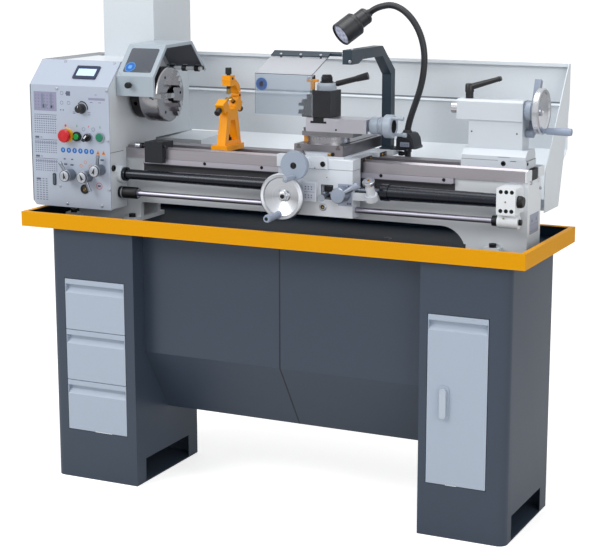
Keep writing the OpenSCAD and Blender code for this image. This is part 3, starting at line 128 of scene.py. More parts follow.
def pattern(tree, place, kind, size, axis, centre):
    """A field from 0 to 1 with features of a size in mm.
    grain: even noise. brushed: noise drawn out 40 times along an axis. turned: noise of the distance
    from an axis plus the way along it. knurl: product of two sine waves that cross round an axis,
    with 36 ridges to a turn."""
    fine = PER_METRE / size
    if kind == "grain":
        return add(tree, "TexNoise", {"Vector": place, "Scale": fine, "Detail": 3.0, "Roughness": 0.6})
    axis = np.array(axis, float)
    if kind == "brushed":
        scale = np.where(np.abs(axis) > 0.5, 25 / size, fine)
        v = vector(tree, "MULTIPLY", place, scale)
        return add(tree, "TexNoise", {"Vector": v, "Scale": 1.0, "Detail": 2.0, "Roughness": 0.6})
    v = vector(tree, "SUBTRACT", place, np.array(centre) * MM)
    along = vector(tree, "DOT_PRODUCT", v, axis)
    if kind == "turned":
        way = maths(tree, "ADD", from_axis(tree, place, centre, axis), along)
        way = maths(tree, "MULTIPLY", way, fine)
        return add(tree, "TexNoise", {"W": way, "Scale": 1.0, "Detail": 2.0}, noise_dimensions="1D")
    side = np.roll(axis, 1)
    a = vector(tree, "DOT_PRODUCT", v, side)
    b = vector(tree, "DOT_PRODUCT", v, np.cross(axis, side))
    turn = maths(tree, "MULTIPLY", maths(tree, "ARCTAN2", a, b), 36.0)
    along = maths(tree, "MULTIPLY", along, math.tau * PER_METRE / size)
    waves = [maths(tree, "SINE", maths(tree, way, turn, along)) for way in ("ADD", "SUBTRACT")]
    return maths(tree, "MULTIPLY", *[maths(tree, "MULTIPLY_ADD", wave, 0.5, 0.5) for wave in waves])


def finish(colour, rough, metal=0.0, tint=0.92, spread=0.06, kind="grain", size=9, height=0.05,
           axis=(1, 0, 0), centre=(0, 0, 0), where=None):
    """What one finish looks like: tint darkens the colour in the pattern's low parts, spread moves
    the roughness, height is the relief in mm, where lists the zones that it covers."""
    return dict(colour=colour, rough=rough, metal=metal, tint=tint, spread=spread, kind=kind,
                size=size, height=height, axis=axis, centre=centre, where=where)


def material(name, *finishes, lathe=None, **sockets):
    """A material of one or more finishes: the first is everywhere, each later one in its zones.
    lathe is a centre and an axis: the sheen is drawn out along axis x (place - centre), as the
    rings of a turned face draw it."""
    look = bpy.data.materials.new(name)
    tree = empty_tree(look)
    place = add(tree, "TexCoord").node.outputs["Object"]
    now = None
    for f in finishes:
        field = pattern(tree, place, f["kind"], f["size"], f["axis"], f["centre"])
        full = np.array(linear(f["colour"]))
        dark = (*(full[:3] * f["tint"]).tolist(), 1.0)
        colour = blend(tree, field, dark, full, "RGBA")
        rough = maths(tree, "MULTIPLY_ADD", field, -f["spread"], f["rough"] + f["spread"] / 2)
        relief = maths(tree, "MULTIPLY", field, f["height"] * MM)
        if now is None:
            now = [colour, rough, relief, f["metal"]]
            continue
        mask = None
        for zone in f["where"]:
            hit = inside(tree, place, zone)
            mask = hit if mask is None else maths(tree, "MAXIMUM", hit, mask)
        now[0] = blend(tree, mask, now[0], colour, "RGBA")
        now[1] = blend(tree, mask, now[1], rough)
        now[2] = blend(tree, mask, now[2], relief)
        if now[3] != f["metal"]:
            now[3] = blend(tree, mask, now[3], f["metal"])
    colour, rough, relief, metal = now
    bump = add(tree, "Bump", {"Distance": 1.0, "Strength": 1.0, "Height": relief})
    inputs = {"Base Color": colour, "Roughness": rough, "Normal": bump, "Metallic": metal, **sockets}
    if lathe:
        centre, axis = lathe
        v = vector(tree, "SUBTRACT", place, np.array(centre) * MM)
        inputs["Tangent"] = add(tree, "VectorTransform", {0: vector(tree, "CROSS_PRODUCT", axis, v)},
                                vector_type="VECTOR", convert_from="OBJECT", convert_to="WORLD")
    add(tree, "OutputMaterial", {0: add(tree, "BsdfPrincipled", inputs)})
    return look


def finish_kind(rough, metal=0.0, colour=None, **usual):
    """A function that makes finishes of one kind, any of its usual values changed."""
    return lambda colour=colour, rough=rough, **more: finish(colour, rough, metal, **{**usual, **more})


# Powder coat on sheet steel: a low sheen, soft unevenness like fine orange peel.
powder = finish_kind(0.42, tint=0.95, size=7, height=0.016)
# Cast iron under filled machine enamel: smooth, with a soft gloss.
enamel = finish_kind(0.3, tint=0.97, size=26, height=0.05)
# Ground steel: bright, fine lines along the travel of the wheel.
ground = finish_kind(0.3, 1.0, tint=0.9, spread=0.1, kind="brushed", size=4, height=0.002)
# Black oxide on steel: dark, slightly blue, oily sheen.
black_oxide = finish_kind(0.42, 0.35, "#121418", tint=0.75, spread=0.12, size=8, height=0.02)
# Moulded plastic: even colour, low spark texture.
moulded = finish_kind(0.4, tint=0.9, size=3, height=0.012)
# Knurled black steel: crossed ridges round an axis.
knurl = finish_kind(0.4, 0.3, "#17181c", kind="knurl", size=3.2, height=0.3)


def turned_metal(colour="#c4c6c9", rough=0.22, centre=AXIS, axis=X, **more):
    """Turned steel or iron: rings round the axis of the piece."""
    look = dict(tint=0.8, spread=0.14, kind="turned", size=2.2, height=0.004, axis=axis, centre=centre)
    return finish(colour, rough, 1.0, **{**look, **more})


def print_look(name, colour):
    """Screen print on a panel: a thin matt film of slightly uneven density."""
    return material(name, finish(colour, 0.45, tint=0.93, size=2.5, height=0.004))


def around(x, y, z, axis, r1, r0=0.0):
    """The zone of a finish between two radii round an axis through a point."""
    return ((x, y, z), axis, r0, r1)


def dress(nodes, *finishes, **more):
    """Gives CAD nodes, named in one string, a material that is named for the first of them."""
    nodes = nodes.split()
    look = material(nodes[0] + "_finish", *finishes, **more)
    for node in nodes:
        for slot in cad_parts[node].material_slots:
            slot.material = look


def smooth_skin():
    """A node group for CAD nodes: loose triangles are joined where they meet, faces are shaded
    smooth, and an edge stays sharp where its faces turn by more than 28 degrees."""
    tree = bpy.data.node_groups.new("smooth_skin", "GeometryNodeTree")
    tree.interface.new_socket("Geometry", in_out="INPUT", socket_type="NodeSocketGeometry")
    tree.interface.new_socket("Geometry", in_out="OUTPUT", socket_type="NodeSocketGeometry")
    kinds = ("NodeGroupInput", "GeometryNodeMergeByDistance", "GeometryNodeSetShadeSmooth",
             "GeometryNodeSetShadeSmooth", "NodeGroupOutput", "GeometryNodeInputMeshEdgeAngle",
             "FunctionNodeCompare")
    start, merge, faces, edges, end, angle, low = [tree.nodes.new(kind) for kind in kinds]
    merge.inputs["Distance"].default_value = 0.01 * MM
    edges.domain = "EDGE"
    low.operation = "LESS_THAN"
    low.inputs[1].default_value = math.radians(28)
    for a, b in ((start, merge), (merge, faces), (faces, edges), (edges, end)):
        tree.links.new(a.outputs[0], b.inputs[0])
    tree.links.new(angle.outputs[0], low.inputs[0])
    tree.links.new(low.outputs[0], edges.inputs["Shade Smooth"])
    return tree


skin = smooth_skin()
for cad_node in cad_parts.values():
    cad_node.modifiers.new("smooth_skin", "NODES").node_group = skin
SHEEN = "Specular IOR Level"
RINGS = {"Anisotropic": 0.8}
# Sheet steel, castings and the front plate
dress("stand", powder("#3a4554", 0.36), **{SHEEN: 0.4})
dress("chip_tray", powder("#102231", 0.55), **{SHEEN: 0.08})
dress("tray_band", powder("#de9a00", 0.5), **{SHEEN: 0.12})
dress("drawer_top drawer_middle drawer_bottom door", powder("#a8b4c4", 0.42))
dress("door_latch", powder("#b4bfcb", 0.34))
# The dark band on the bed's front from z 900 to 941.6, over the rack's lowest edge and under it, is painted
# shade: the rack's teeth and the bed below them in shadow.
dress("bed", enamel("#e2e7ec"),
      ground("#a6a2a8", 0.4, where=[((-FAR, -70, 956.6), (712.6, 104, FAR))]),
      ground("#b3b0ba", 0.5, where=[((-450, -70, 938.6), (516, -54, 956.6))]),
      finish("#3a3b40", 0.6, where=[((-450, -70, 900), (516, -54, 941.6))]))
dress("black_trim", black_oxide(),
      moulded("#dfae20", 0.35, where=[around(-648, 0, 1022, Y, 21)]),
      turned_metal("#b9bec8", 0.3, (-577, 0, 1019), Y,
                   where=[around(-577, 0, 1019, Y, 15), around(-537, 0, 1021, Y, 16)]),
      moulded("#232a48", 0.3, where=[((-641, -150, 1168), (-560, -80, 1230))]))
dress("headstock", enamel("#ccd3da"))
dress("front_plate", finish("#acb6c6", 0.34, 0.1, tint=0.975, size=30, height=0.01))
dress("sheet_housings", powder("#cfd6dc", 0.4),
      powder("#6c737e", 0.4, where=[((-FAR, -FAR, 0), (-699.9, 228, FAR))]))
dress("splash_guard", powder("#dde4ea", 0.42))
dress("stop_button", moulded("#bf141f", 0.3))
dress("start_button", moulded("#0a8a3c", 0.2))
dress("feed_button", moulded("#17765a", 0.32))
dress("mode_selector speed_knob", moulded("#15171a", 0.36))
LEVERS = (("lever_left", -640, 907), ("lever_middle", -581, 906), ("lever_right", -538, 927))
for lever, x, z in LEVERS:
    dress(lever, turned_metal("#8b919c", 0.36, (x, 0, z), Y))
# Spindle, chuck and the two screws along the bed
dress("spindle", turned_metal())
dress("chuck_body", turned_metal("#a9a8ab", 0.2),
      turned_metal("#3b3a3c", 0.35, where=[((-497, -FAR, 0), (-459.5, FAR, FAR))]),
      lathe=(AXIS, X), **{"Anisotropic": 0.7})
dress("jaw_1 jaw_2 jaw_3", ground("#c4c6ca", 0.2, axis=Y))
dress("chuck_guard", powder("#9fabb5", 0.38),
      black_oxide("#2a2c30", where=[around(0, 180, 1200, X, 9.6)]))
dress("leadscrew", turned_metal("#5a5e66", 0.3, (0, -100, 912)),
      black_oxide(where=[((706, -FAR, 0), (FAR, FAR, FAR))]))
dress("feed_rod", turned_metal("#a9a8b6", 0.42, (0, -100, 858)),
      black_oxide(where=[((-FAR, -FAR, 0), (-441, 0, FAR)), ((638, -FAR, 0), (FAR, 0, FAR))]),
      turned_metal("#b9bec8", 0.3, (0, -100, 858), where=[((-494.5, -FAR, 0), (-491, 0, FAR))]))
dress("cover_left cover_right", black_oxide("#0f1622", 0.26))
# Carriage with its slides and wheels
dress("saddle apron", enamel(WHITE))
dress("guard_post shield_rod", powder("#1f303d", 0.4))
dress("work_lamp", moulded("#191c22", 0.42))
dress("carriage_wheel", turned_metal("#c9ccd2", 0.2, (52, 0, 890), Y),
      turned_metal("#d2d6dc", 0.5, (52, 0, 890), Y, where=[around(52, 0, 890, Y, 66, 52.5)]),
      moulded("#95a2b8", 0.34, where=[around(42, 0, 839, Y, 11.5)]),
      lathe=((52, 0, 890), Y), **RINGS)
dress("halfnut_lever", turned_metal("#9ea6b3", 0.36, (221, 0, 904), Y))
dress("feed_lever", turned_metal("#9ea6b3", 0.36, (172.5, 0, 902), Y))
dress("thread_dial", turned_metal("#c3c8cf", 0.3, (304, -120, 892), (0, -0.4384, 0.8988)))
dress("cross_slide", ground("#8e8b90", 0.36, axis=Y))
dress("cross_wheel", enamel("#98a4b5", 0.34),
      turned_metal("#46464a", 0.4, (101, 0, 982), Y, where=[around(101, 0, 982, Y, 9.1)]))
dress("top_wheel", enamel("#9faab8", 0.34),
      black_oxide("#3a3d42", where=[around(0, -50, 1085, X, 18.05)]))
dress("swivel_base", ground("#8f8f93", 0.3),
      turned_metal("#b5b5ba", 0.24, (142, -50, 0), Z, where=[((90, -110, 1033.1), (202, 10, 1051.9))]),
      enamel("#d89a3a", where=[((74, -68, 1033.1), (88, -56, 1051.9))]))
dress("top_slide", ground("#c6c5ce", 0.36),
      black_oxide(where=[((102.9, -FAR, 1087.2), (151.1, -26, 1093.2)),
                         ((110.9, -FAR, 1093), (143.1, -26, 1104))]))
dress("tool_post", black_oxide("#2b2b2f", 0.4))
dress("post_lever", black_oxide("#1d1f24", 0.34),
      enamel("#a3adb9", where=[((106, -70, 1175), (160, -16, 1195.6))]),
      knurl(centre=(142.5, -41, 1188.6), axis=(0.948, 0.184, 0.259),
            where=[((226, -FAR, 0), (FAR, FAR, FAR))]))
# Tailstock, steady rest, bed stop and shield
dress("tailstock", enamel("#c9d0d8"))
dress("quill", turned_metal("#c6c9ce", 0.16))
dress("tail_wheel", turned_metal("#c9ccd2", 0.2),
      moulded("#95a2b8", 0.34, where=[around(0, 17, 1086, X, 11.2)]),
      enamel("#98a4b5", where=[((683.5, -9, 0), (706, 43, FAR))]), lathe=(AXIS, X), **RINGS)
dress("quill_lock", moulded("#0c0d11", 0.36))
dress("clamp_lever", enamel("#8591a3", 0.36))
dress("steady_base steady_arch", enamel("#f09a00", 0.36), **{SHEEN: 0.25})
dress("finger_1 finger_2 finger_3", black_oxide("#24262b", 0.34),
      turned_metal("#b3924e", 0.3, where=[around(-205, 17, 1137, X, 24)]),
      knurl(centre=AXIS, axis=Z, where=[around(-205, 17, 1137, X, 90, 67)]))
dress("bed_stop", black_oxide("#1c2027", 0.46),
      turned_metal("#b9bec8", 0.3, (0, -71, 994), where=[((-465, -81, 984), (-448, -61, 1004))]))
dress("shield", finish("#eeeef3", 0.06, tint=0.98),
      finish("#d3dbe4", 0.06, tint=0.98, where=[((0, -FAR, 1100), (FAR, -239, 1231))]),
      **{"IOR": 1.49, "Transmission Weight": 0.94})


# --------------------------------------------------------------------- shapes
WELD = 2e-6


def cos_sin(degrees):
    """Cosine and sine of an angle in degrees."""
    return math.cos(math.radians(degrees)), math.sin(math.radians(degrees))


def rings(grid, closed=False):
    """Points and faces of a skin over a grid of points: every row is a ring that joins the next.
    The first and last rows are filled, or join each other when closed."""
    rows, cols = grid.shape[:2]
    i = np.arange(rows if closed else rows - 1)[:, None]
    j = np.arange(cols)
    k, n = (j + 1) % cols, (i + 1) % rows
    quads = np.stack([i * cols + j, i * cols + k, n * cols + k, n * cols + j], -1).reshape(-1, 4)
    faces = list(quads)
    if not closed:
        faces += [j[::-1], j + (rows - 1) * cols]
    return grid.reshape(-1, 3), faces


def piece(name, parts, look, body, crease=35):
    """One object from the points and faces of its parts, riding on a body: points nearer than WELD
    metres are merged, faces point outward, and edges over crease degrees stay sharp."""
    start = np.cumsum([0] + [len(points) for points, faces in parts])
    faces = [(face + first).tolist() for first, (points, faces) in zip(start, parts) for face in faces]
    mesh = bpy.data.meshes.new(name)
    mesh.from_pydata((np.concatenate([points for points, faces in parts]) * MM).tolist(), [], faces)
    shape = bmesh.new()
    shape.from_mesh(mesh)
    bmesh.ops.remove_doubles(shape, verts=shape.verts, dist=WELD)
    bmesh.ops.recalc_face_normals(shape, faces=shape.faces)
    shape.to_mesh(mesh)
    shape.free()
    mesh.shade_smooth()
    mesh.set_sharp_from_angle(angle=math.radians(crease))
    mesh.materials.append(look)
    thing = bpy.data.objects.new(name, mesh)
    bpy.context.scene.collection.objects.link(thing)
    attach(thing, body)
    return thing


def face_at(x, y, z, u=X, v=Z):
    """A flat face: its origin and its two directions. Their cross product points out of it."""
    return np.array([x, y, z], float), np.array(u, float), np.array(v, float)


def end_face(x):
    """A face across the bed that looks to the right."""
    return face_at(x, 0, 0, Y, Z)


def lift(face, a, b, t):
    """Points of a face: origin + a u + b v + t (u x v)."""
    o, u, v = face
    a, b, t = (np.asarray(q, float)[..., None] for q in (a, b, t))
    return o + a * u + b * v + t * np.cross(u, v)


def slab(face, outline, low, high, soft=0.0):
    """A plate on a face: its outline carried from low to high, the top edge drawn in by soft along
    the halves of its corners' angles."""
    p = np.array(outline, float)
    e = np.roll(p, -1, 0) - p
    e /= np.linalg.norm(e, axis=1)[:, None]
    n = np.stack([-e[:, 1], e[:, 0]], 1)
    m = n + np.roll(n, 1, 0)
    m /= np.maximum((m * n).sum(1), 0.4)[:, None]
    levels = [(0, low), (0, high)]
    if soft:
        levels = [(0, low), (0, high - soft), (soft * 0.3, high - soft * 0.3), (soft, high)]
    rows = [lift(face, *(p + d * m).T, np.full(len(p), t)) for d, t in levels]
    return rings(np.array(rows))


def rect(a0, b0, a1, b1, r=0.0, steps=4):
    """Outline of a rectangle, its corners rounded by r."""
    if not r:
        return np.array([(a0, b0), (a1, b0), (a1, b1), (a0, b1)], float)
    t = np.linspace(0, math.pi / 2, steps + 1)
    turns = [np.stack([np.cos(t + q), np.sin(t + q)], 1) * r for q in np.arange(4) * math.pi / 2]
    middles = [(a1 - r, b1 - r), (a0 + r, b1 - r), (a0 + r, b0 + r), (a1 - r, b0 + r)]
    return np.concatenate([turn + middle for turn, middle in zip(turns, middles)])


def plates(face, low, high, *boxes):
    """Plates on a face between two heights, each from the numbers that rect takes."""
    return [slab(face, rect(*box), low, high) for box in boxes]


def disc(a, b, r, sides=24):
    """Outline of a circle."""
    t = np.arange(sides) / sides * math.tau
    return np.stack([a + r * np.cos(t), b + r * np.sin(t)], 1)


def arc_band(a, b, r0, r1, t0, t1, sides=16):
    """Outline of part of a ring between two angles in degrees."""
    t = np.radians(np.linspace(t0, t1, sides))
    outer = np.stack([a + r1 * np.cos(t), b + r1 * np.sin(t)], 1)
    inner = np.stack([a + r0 * np.cos(t), b + r0 * np.sin(t)], 1)[::-1]
    return np.concatenate([outer, inner])


def turned(face, a, b, profile, sides=28, closed=False):
    """A profile of (radius, height) pairs turned round the normal of a face at (a, b)."""
    p = np.array(profile, float)
    t = np.arange(sides) / sides * math.tau
    grid = lift(face, a + p[:, :1] * np.cos(t), b + p[:, :1] * np.sin(t), p[:, 1:] + 0 * t)
    return rings(grid, closed)


def ring(face, a, b, r0, r1, low, high, sides=28):
    """A flat ring: a square section carried round."""
    return turned(face, a, b, [(r0, low), (r1, low), (r1, high), (r0, high)], sides, closed=True)


def tube(path, radius, side, sides=16):
    """A round section carried along a path in a plane: point + r (cos t s + sin t (tangent x s)),
    where s is square to that plane."""
    path = np.array(path, float)
    way = np.gradient(path, axis=0)
    way /= np.linalg.norm(way, axis=1)[:, None]
    other = np.cross(way, side)
    t = np.arange(sides) / sides * math.tau
    r = (np.zeros(len(path)) + radius)[:, None, None]
    grid = path[:, None] + r * (np.cos(t)[:, None] * side + np.sin(t)[:, None] * other[:, None])
    return rings(grid)


def dome_screw(face, a, b, r):
    """A pan head with a small round recess in the middle of its crown."""
    head = [(r, 0), (r, 0.25 * r), (0.85 * r, 0.5 * r), (0.5 * r, 0.62 * r), (0.3 * r, 0.6 * r),
            (0.2 * r, 0.3 * r), (0, 0.3 * r)]
    return turned(face, a, b, head, 16)


def cap_screw(face, a, b, r, low, high):
    """A cylinder head with a bevelled rim and a round socket in it."""
    floor = high - 0.6 * (high - low)
    head = [(r, low), (r, high - 0.12 * r), (0.88 * r, high), (0.52 * r, high), (0.5 * r, floor), (0, floor)]
    return turned(face, a, b, head, 24)


def bars(face, a0, b0, a1, b1, rows, cols, fill=0.62, high=0.12):
    """Rows and columns of small plates inside a rectangle, like a printed table: each fills a
    share of its cell's width and 0.45 of its height."""
    da, db = (a1 - a0) / cols, (b1 - b0) / rows
    cells = [(a0 + i * da, b0 + j * db, a0 + (i + fill) * da, b0 + (j + 0.45) * db)
             for i in range(cols) for j in range(rows)]
    return plates(face, 0, high, *cells)


# --------------------------------------------------------------------- detail
INKS = (("slate", "#555b70"), ("grey", "#767c92"), ("violet", "#8b8ba6"), ("blue", "#0a5cae"),
        ("white", "#dfe6ee"), ("sky", "#5c9bd8"), ("orange", "#d3833a"), ("red", "#c43a4a"),
        ("green", "#3a9a50"), ("black", "#101216"))
films = [print_look("printed_" + name + "_film", colour) for name, colour in INKS]
(ink_dark, ink_mid, ink_violet, ink_blue, ink_white,
 ink_sky, ink_orange, ink_red, ink_green, ink_black) = films
label_pale = print_look("pale_label_foil", "#c3cad8")
label_grey = print_look("silvered_label_foil", "#9aa3b6")
zinc = material("zinc_plated_screw_steel", turned_metal("#b9bdc4", 0.3, size=4, kind="grain"))
dark_steel = material("blackened_screw_steel", black_oxide("#16181b", 0.34))
brass = material("polished_brass", turned_metal("#b08c4a", 0.28, kind="grain", size=5))
seam = material("dark_joint_line", moulded("#3a3f47", 0.6))
glass_dark = material("oil_sight_glass", moulded("#3c3320", 0.12))
slate_glass = material("slate_sight_glass", moulded("#465160", 0.15))
satin = material("satin_anodised_cap", turned_metal("#bfc4cc", 0.34, kind="grain", size=4))
screen_glow = material("backlit_display_glass", finish("#b9d4f2", 0.2, tint=0.95, size=12, height=0.0),
                       **{"Emission Color": linear("#b9d8ff"), "Emission Strength": 0.25})
rubber = material("black_felt_wiper", moulded("#101216", 0.6))
white_cap = material("white_enamel_cap", enamel(WHITE))
black_plastic = material("black_moulded_nylon", moulded("#191c22", 0.4))
orange_cap = material("orange_anodised_clip", enamel("#e39418", 0.34))
smoke = material("smoked_guard_window", finish("#4a505a", 0.16, tint=0.9, size=30, height=0.02))
lens = material("clear_lamp_lens", finish("#c9cee6", 0.12, tint=0.92, size=6, height=0.05))
plug_steel = material("ground_slot_plug", ground("#716d6c", 0.34, axis=Y))
FILM = 0.15


def front_print():
    """Fields, tables, symbols, sights, display and screws of the front plate, joint line and plug
    on the headstock's end, and marks on the plate's selector, knob and levers."""
    put = partial(piece, body="base")
    f = face_at(0, -150, 0)
    put("plate_picture_field", plates(f, 0, FILM, (-763, 1090, -684, 1146)), ink_violet)
    shapes = bars(f, -758, 1096, -688, 1142, 5, 7, 0.35, 0.3)
    shapes += plates(f, 0.1, 0.32, (-737, 1098, -729, 1140), (-706, 1100, -700, 1142))
    shapes += [slab(f, disc(-725, 1104, 7), 0.1, 0.32), slab(f, disc(-699, 1101, 6), 0.1, 0.32)]
    for table in ((-763, 1025, -685, 1078, 8, 10), (-763, 967, -685, 1005, 6, 10),
                  (-763, 913, -685, 949, 6, 10), (-763, 826, -720, 894, 10, 4)):
        shapes += bars(f, *table)
    put("plate_tables", shapes, ink_mid)
    heads = plates(f, 0, 0.2, *[(-763, z, -685, z + 1.4) for z in (1078, 1066, 1005, 996, 949, 941)])
    put("plate_table_heads", heads, ink_dark)
    # A dark grey strip down the plate's left edge is painted shade: the darker shading of the plate's
    # rounded bend there.
    put("plate_edge_painted_shade", [slab(f, rect(-775.9, 823, -773, 1165.6), -0.4, 0.25, 0.1)],
        material("plate_bend_painted_shade_look", powder("#4d525d", 0.5)))
    boxes = [(-762, z - 3, -748, z + 3, 1.2) for z in (1012, 956, 888)]
    boxes += [(-744, z - 1, -738, z + 1) for z in (1012, 956)]
    boxes += [(x, z, x + 7, z + 4, 1) for x, z in ((-665, 950), (-639, 950))]
    boxes += [(x, z, x + 11, z + 5, 1) for x, z in ((-664, 934), (-642, 933), (-538, 953))]
    strokes = ((-628, 1090), (-628, 1086), (-577, 1090), (-577, 1084), (-569, 1120), (-540, 1120))
    marks = plates(f, 0, FILM, *boxes) + [slab(f, disc(x, 1095, 2), 0, FILM) for x in (-670, -661)]
    marks += plates(f, 0, FILM, *[(x, z, x + 9, z + 1.6) for x, z in strokes], (-652, 1141, -647, 1146))
    marks += [slab(f, arc_band(-548, 1141, 2.6, 3.6, 0, 200), 0, FILM)]
    marks += [ring(f, x, z, 4.6, 5.6, 0, FILM, 20) for x, z in ((-593, 1042), (-560, 1043))]
    marks += [ring(f, x, z, 4.4, 5.4, 0, FILM, 20) for x, z in ((-665, 1144), (-666, 1116), (-642, 1116))]
    marks += plates(f, 0, 0.08, (-650, 1137, -636, 1150, 0.8))
    put("plate_marks", marks, ink_dark)
    put("speed_bar", plates(f, 0, FILM, (-574, 1127, -518, 1134, 0.5)), ink_violet)
    put("speed_arc", [slab(f, arc_band(-597, 1102, 18, 21.5, -8, 105), 0, 0.2),
                      slab(f, arc_band(-597, 1102, 17, 19, 105, 135), 0, 0.2)], ink_black)
    spots = np.array([-666, -646, -626, -606, -586, -567])
    put("blue_spots", [slab(f, disc(x, 978, 7.6), 0, FILM) for x in spots], ink_blue)
    put("blue_spot_centres", plates(f, 0.1, 0.24, *[(x - 2, 975, x + 2.4, 982, 1) for x in spots]),
        print_look("printed_pale_blue_film", "#7fa9d6"))
    peak = np.array([(-7, -6), (7, -6), (0, 6.6)])
    put("orange_peaks", [slab(f, peak + (x, 977), 0, FILM) for x in (-546, -527)], ink_orange)
    put("peak_centres", [slab(f, peak * 0.42 + (x, 975.6), 0.1, 0.24) for x in (-546, -527)], ink_dark)
    spots = ((-605, 935), (-590, 946), (-574, 935))
    put("orange_rings", [ring(f, x, z, 3.6, 5, 0, FILM, 20) for x, z in spots], ink_orange)
    put("red_marks", [slab(f, disc(-655, 1050, 4, 6), 0, FILM),
                      slab(f, rect(-577, 1048, -575, 1053), 0, FILM),
                      ring(f, -544, 879, 8.4, 10.2, 0, FILM)], ink_red)
    put("round_mark_centre", plates(f, 0, FILM, (-549, 876, -539, 882, 1)), ink_dark)
    put("green_marks", plates(f, 0, FILM, *[(x, 1047, x + 2.4, 1054) for x in (-617, -538)]), ink_green)
    sight = [(8.5, 0), (14, 0), (14, 2.4), (13, 3.2), (8.5, 3.2)]
    put("gearbox_sight_ring", [turned(f, -594, 867, sight, closed=True)], dark_steel)
    put("gearbox_sight_glass", [turned(f, -594, 867, [(8.6, 0), (8.6, 1.6), (6, 2.2), (0, 2.4)])],
        glass_dark)
    beads = [slab(f, disc(x, z, 2.2, 12), 1, 2.6) for x, z in ((-596, 864), (-591, 868))]
    put("gearbox_sight_float", beads, brass)
    put("tall_sight_glass", [slab(f, rect(-702.4, 875, -694.6, 905, 3.6), 0.5, 2.4, 0.3)], slate_glass)
    screws = ((-681, 1156), (-511, 1156), (-511, 1012), (-510, 870), (-536, 821), (-655, 820), (-680, 871))
    slope = face_at(0, -150, 1166, X, np.array([0, 70, 69]) / math.hypot(70, 69))
    heads = [dome_screw(f, x, z, 4.2) for x, z in screws]
    heads += [dome_screw(slope, x, 91, 4.2) for x in (-691, -523)]
    put("plate_screws", heads, zinc)
    put("display_glass", [slab(slope, rect(-631.5, 36.5, -569.5, 65.5, 1), 2, 2.6)], screen_glow)
    put("display_window_rim", plates(slope, 2, 2.9, *[(-631.8, z, -569.2, z + 1.6) for z in (36.2, 64.2)]),
        print_look("printed_navy_film", "#27306a"))
    side = end_face(-505)
    put("headstock_joint_line", plates(side, 0, 0.25, (-149.5, 976.4, -76, 977.8)), seam)
    put("gearbox_plug", [cap_screw(side, -135.5, 932, 9, 0, 5)], dark_steel)
    c, s = cos_sin(40)
    knob = face_at(-577, -174, 1019, (c, 0, -s), (s, 0, c))
    piece("selector_line", plates(knob, 0, 0.5, (-1.9, -1, 1.9, 10.4, 0.6)), ink_white, "mode_selector")
    arrow = np.array([(-5, -9.5), (0, -6), (5, -9.5), (2.4, 2), (0, 12), (-2.4, 2)])
    for (body, x, z), lean in zip(LEVERS, (10, 28, -18)):
        hub = face_at(x, -188, z)
        c, s = cos_sin(lean)
        piece(body + "_cap", [slab(hub, disc(0, 0, 15, 32), 0, 0.9, 0.4)], satin, body)
        piece(body + "_arrow", [slab(hub, arrow @ np.array([(c, s), (-s, c)]), 0.8, 1.3)], ink_black, body)
        piece(body + "_rim", [ring(hub, 0, 0, 15.1, 16.4, -1.2, 0.2)], seam, body)
    knob = face_at(-597, -172, 1102)
    piece("speed_knob_mark", plates(knob, 0, 0.3, (-0.7, 3, 0.7, 9.5)), ink_white, "speed_knob")


def spot_sign(name, face, a, b, disc_form, rim_form, mark, body):
    """A round blue sign with its raised rim and the pale mark on it."""
    r, sides, low, high = disc_form
    piece(name, [slab(face, disc(a, b, r, sides), low, high)], ink_blue, body)
    piece(name + "_rim", [ring(face, a, b, *rim_form)], ink_sky, body)
    box, low, high = mark
    piece(name + "_mark", plates(face, low, high, box), ink_sky, body)


def chuck_guard_detail():
    """Window with its screws, blue spot, painted shade inside its wall and pull knob of the chuck guard."""
    put = partial(piece, body="chuck_guard")
    slope = face_at(0, -110, 1197, X, np.array([0, 76, 86]) / math.hypot(76, 86))
    put("guard_window", [slab(slope, rect(-487, 14, -394, 100, 6), 0, 0.8, 0.3)], smoke)
    spot_sign("guard_spot", slope, -468, 32, (15.4, 32, 0.6, 1.1), (15.2, 16.6, 0.6, 1.2),
              ((-474, 26, -462, 38, 3), 1, 1.3), "chuck_guard")
    screws = [dome_screw(slope, x, v, 3) for x, v in ((-493, 8), (-388, 8), (-490, 106), (-391, 106))]
    put("guard_window_screws", screws, zinc)
    # The dark grey sheet just inside the guard's wall is painted shade: it darkens the guard's inside, where
    # shade falls.
    wall = np.array([(201, 1197), (118, 1286), (-34, 1283), (-110, 1197), (-110, 1140)])
    way = np.diff(wall, axis=0)
    out = np.stack([way[:, 1], -way[:, 0]], -1) / np.linalg.norm(way, axis=1)[:, None]
    first, last = out[[0, *range(len(out))]], out[[*range(len(out)), -1]]
    mitre = (first + last) / (1 + (first * last).sum(1))[:, None]
    shade_outline = np.concatenate([wall - 2.3 * mitre, (wall - 2.9 * mitre)[::-1]])
    put("guard_inside_painted_shade", [slab(end_face(-497), shade_outline, 0, 112)],
        material("guard_inside_painted_shade_look", powder("#5a5e66", 0.5)))
    knob = [(4, 0), (4, 5), (8, 6), (9, 9), (9, 19), (7.5, 22), (0, 22)]
    put("guard_knob", [turned(face_at(0, -110, 0), -455, 1172, knob)], dark_steel)


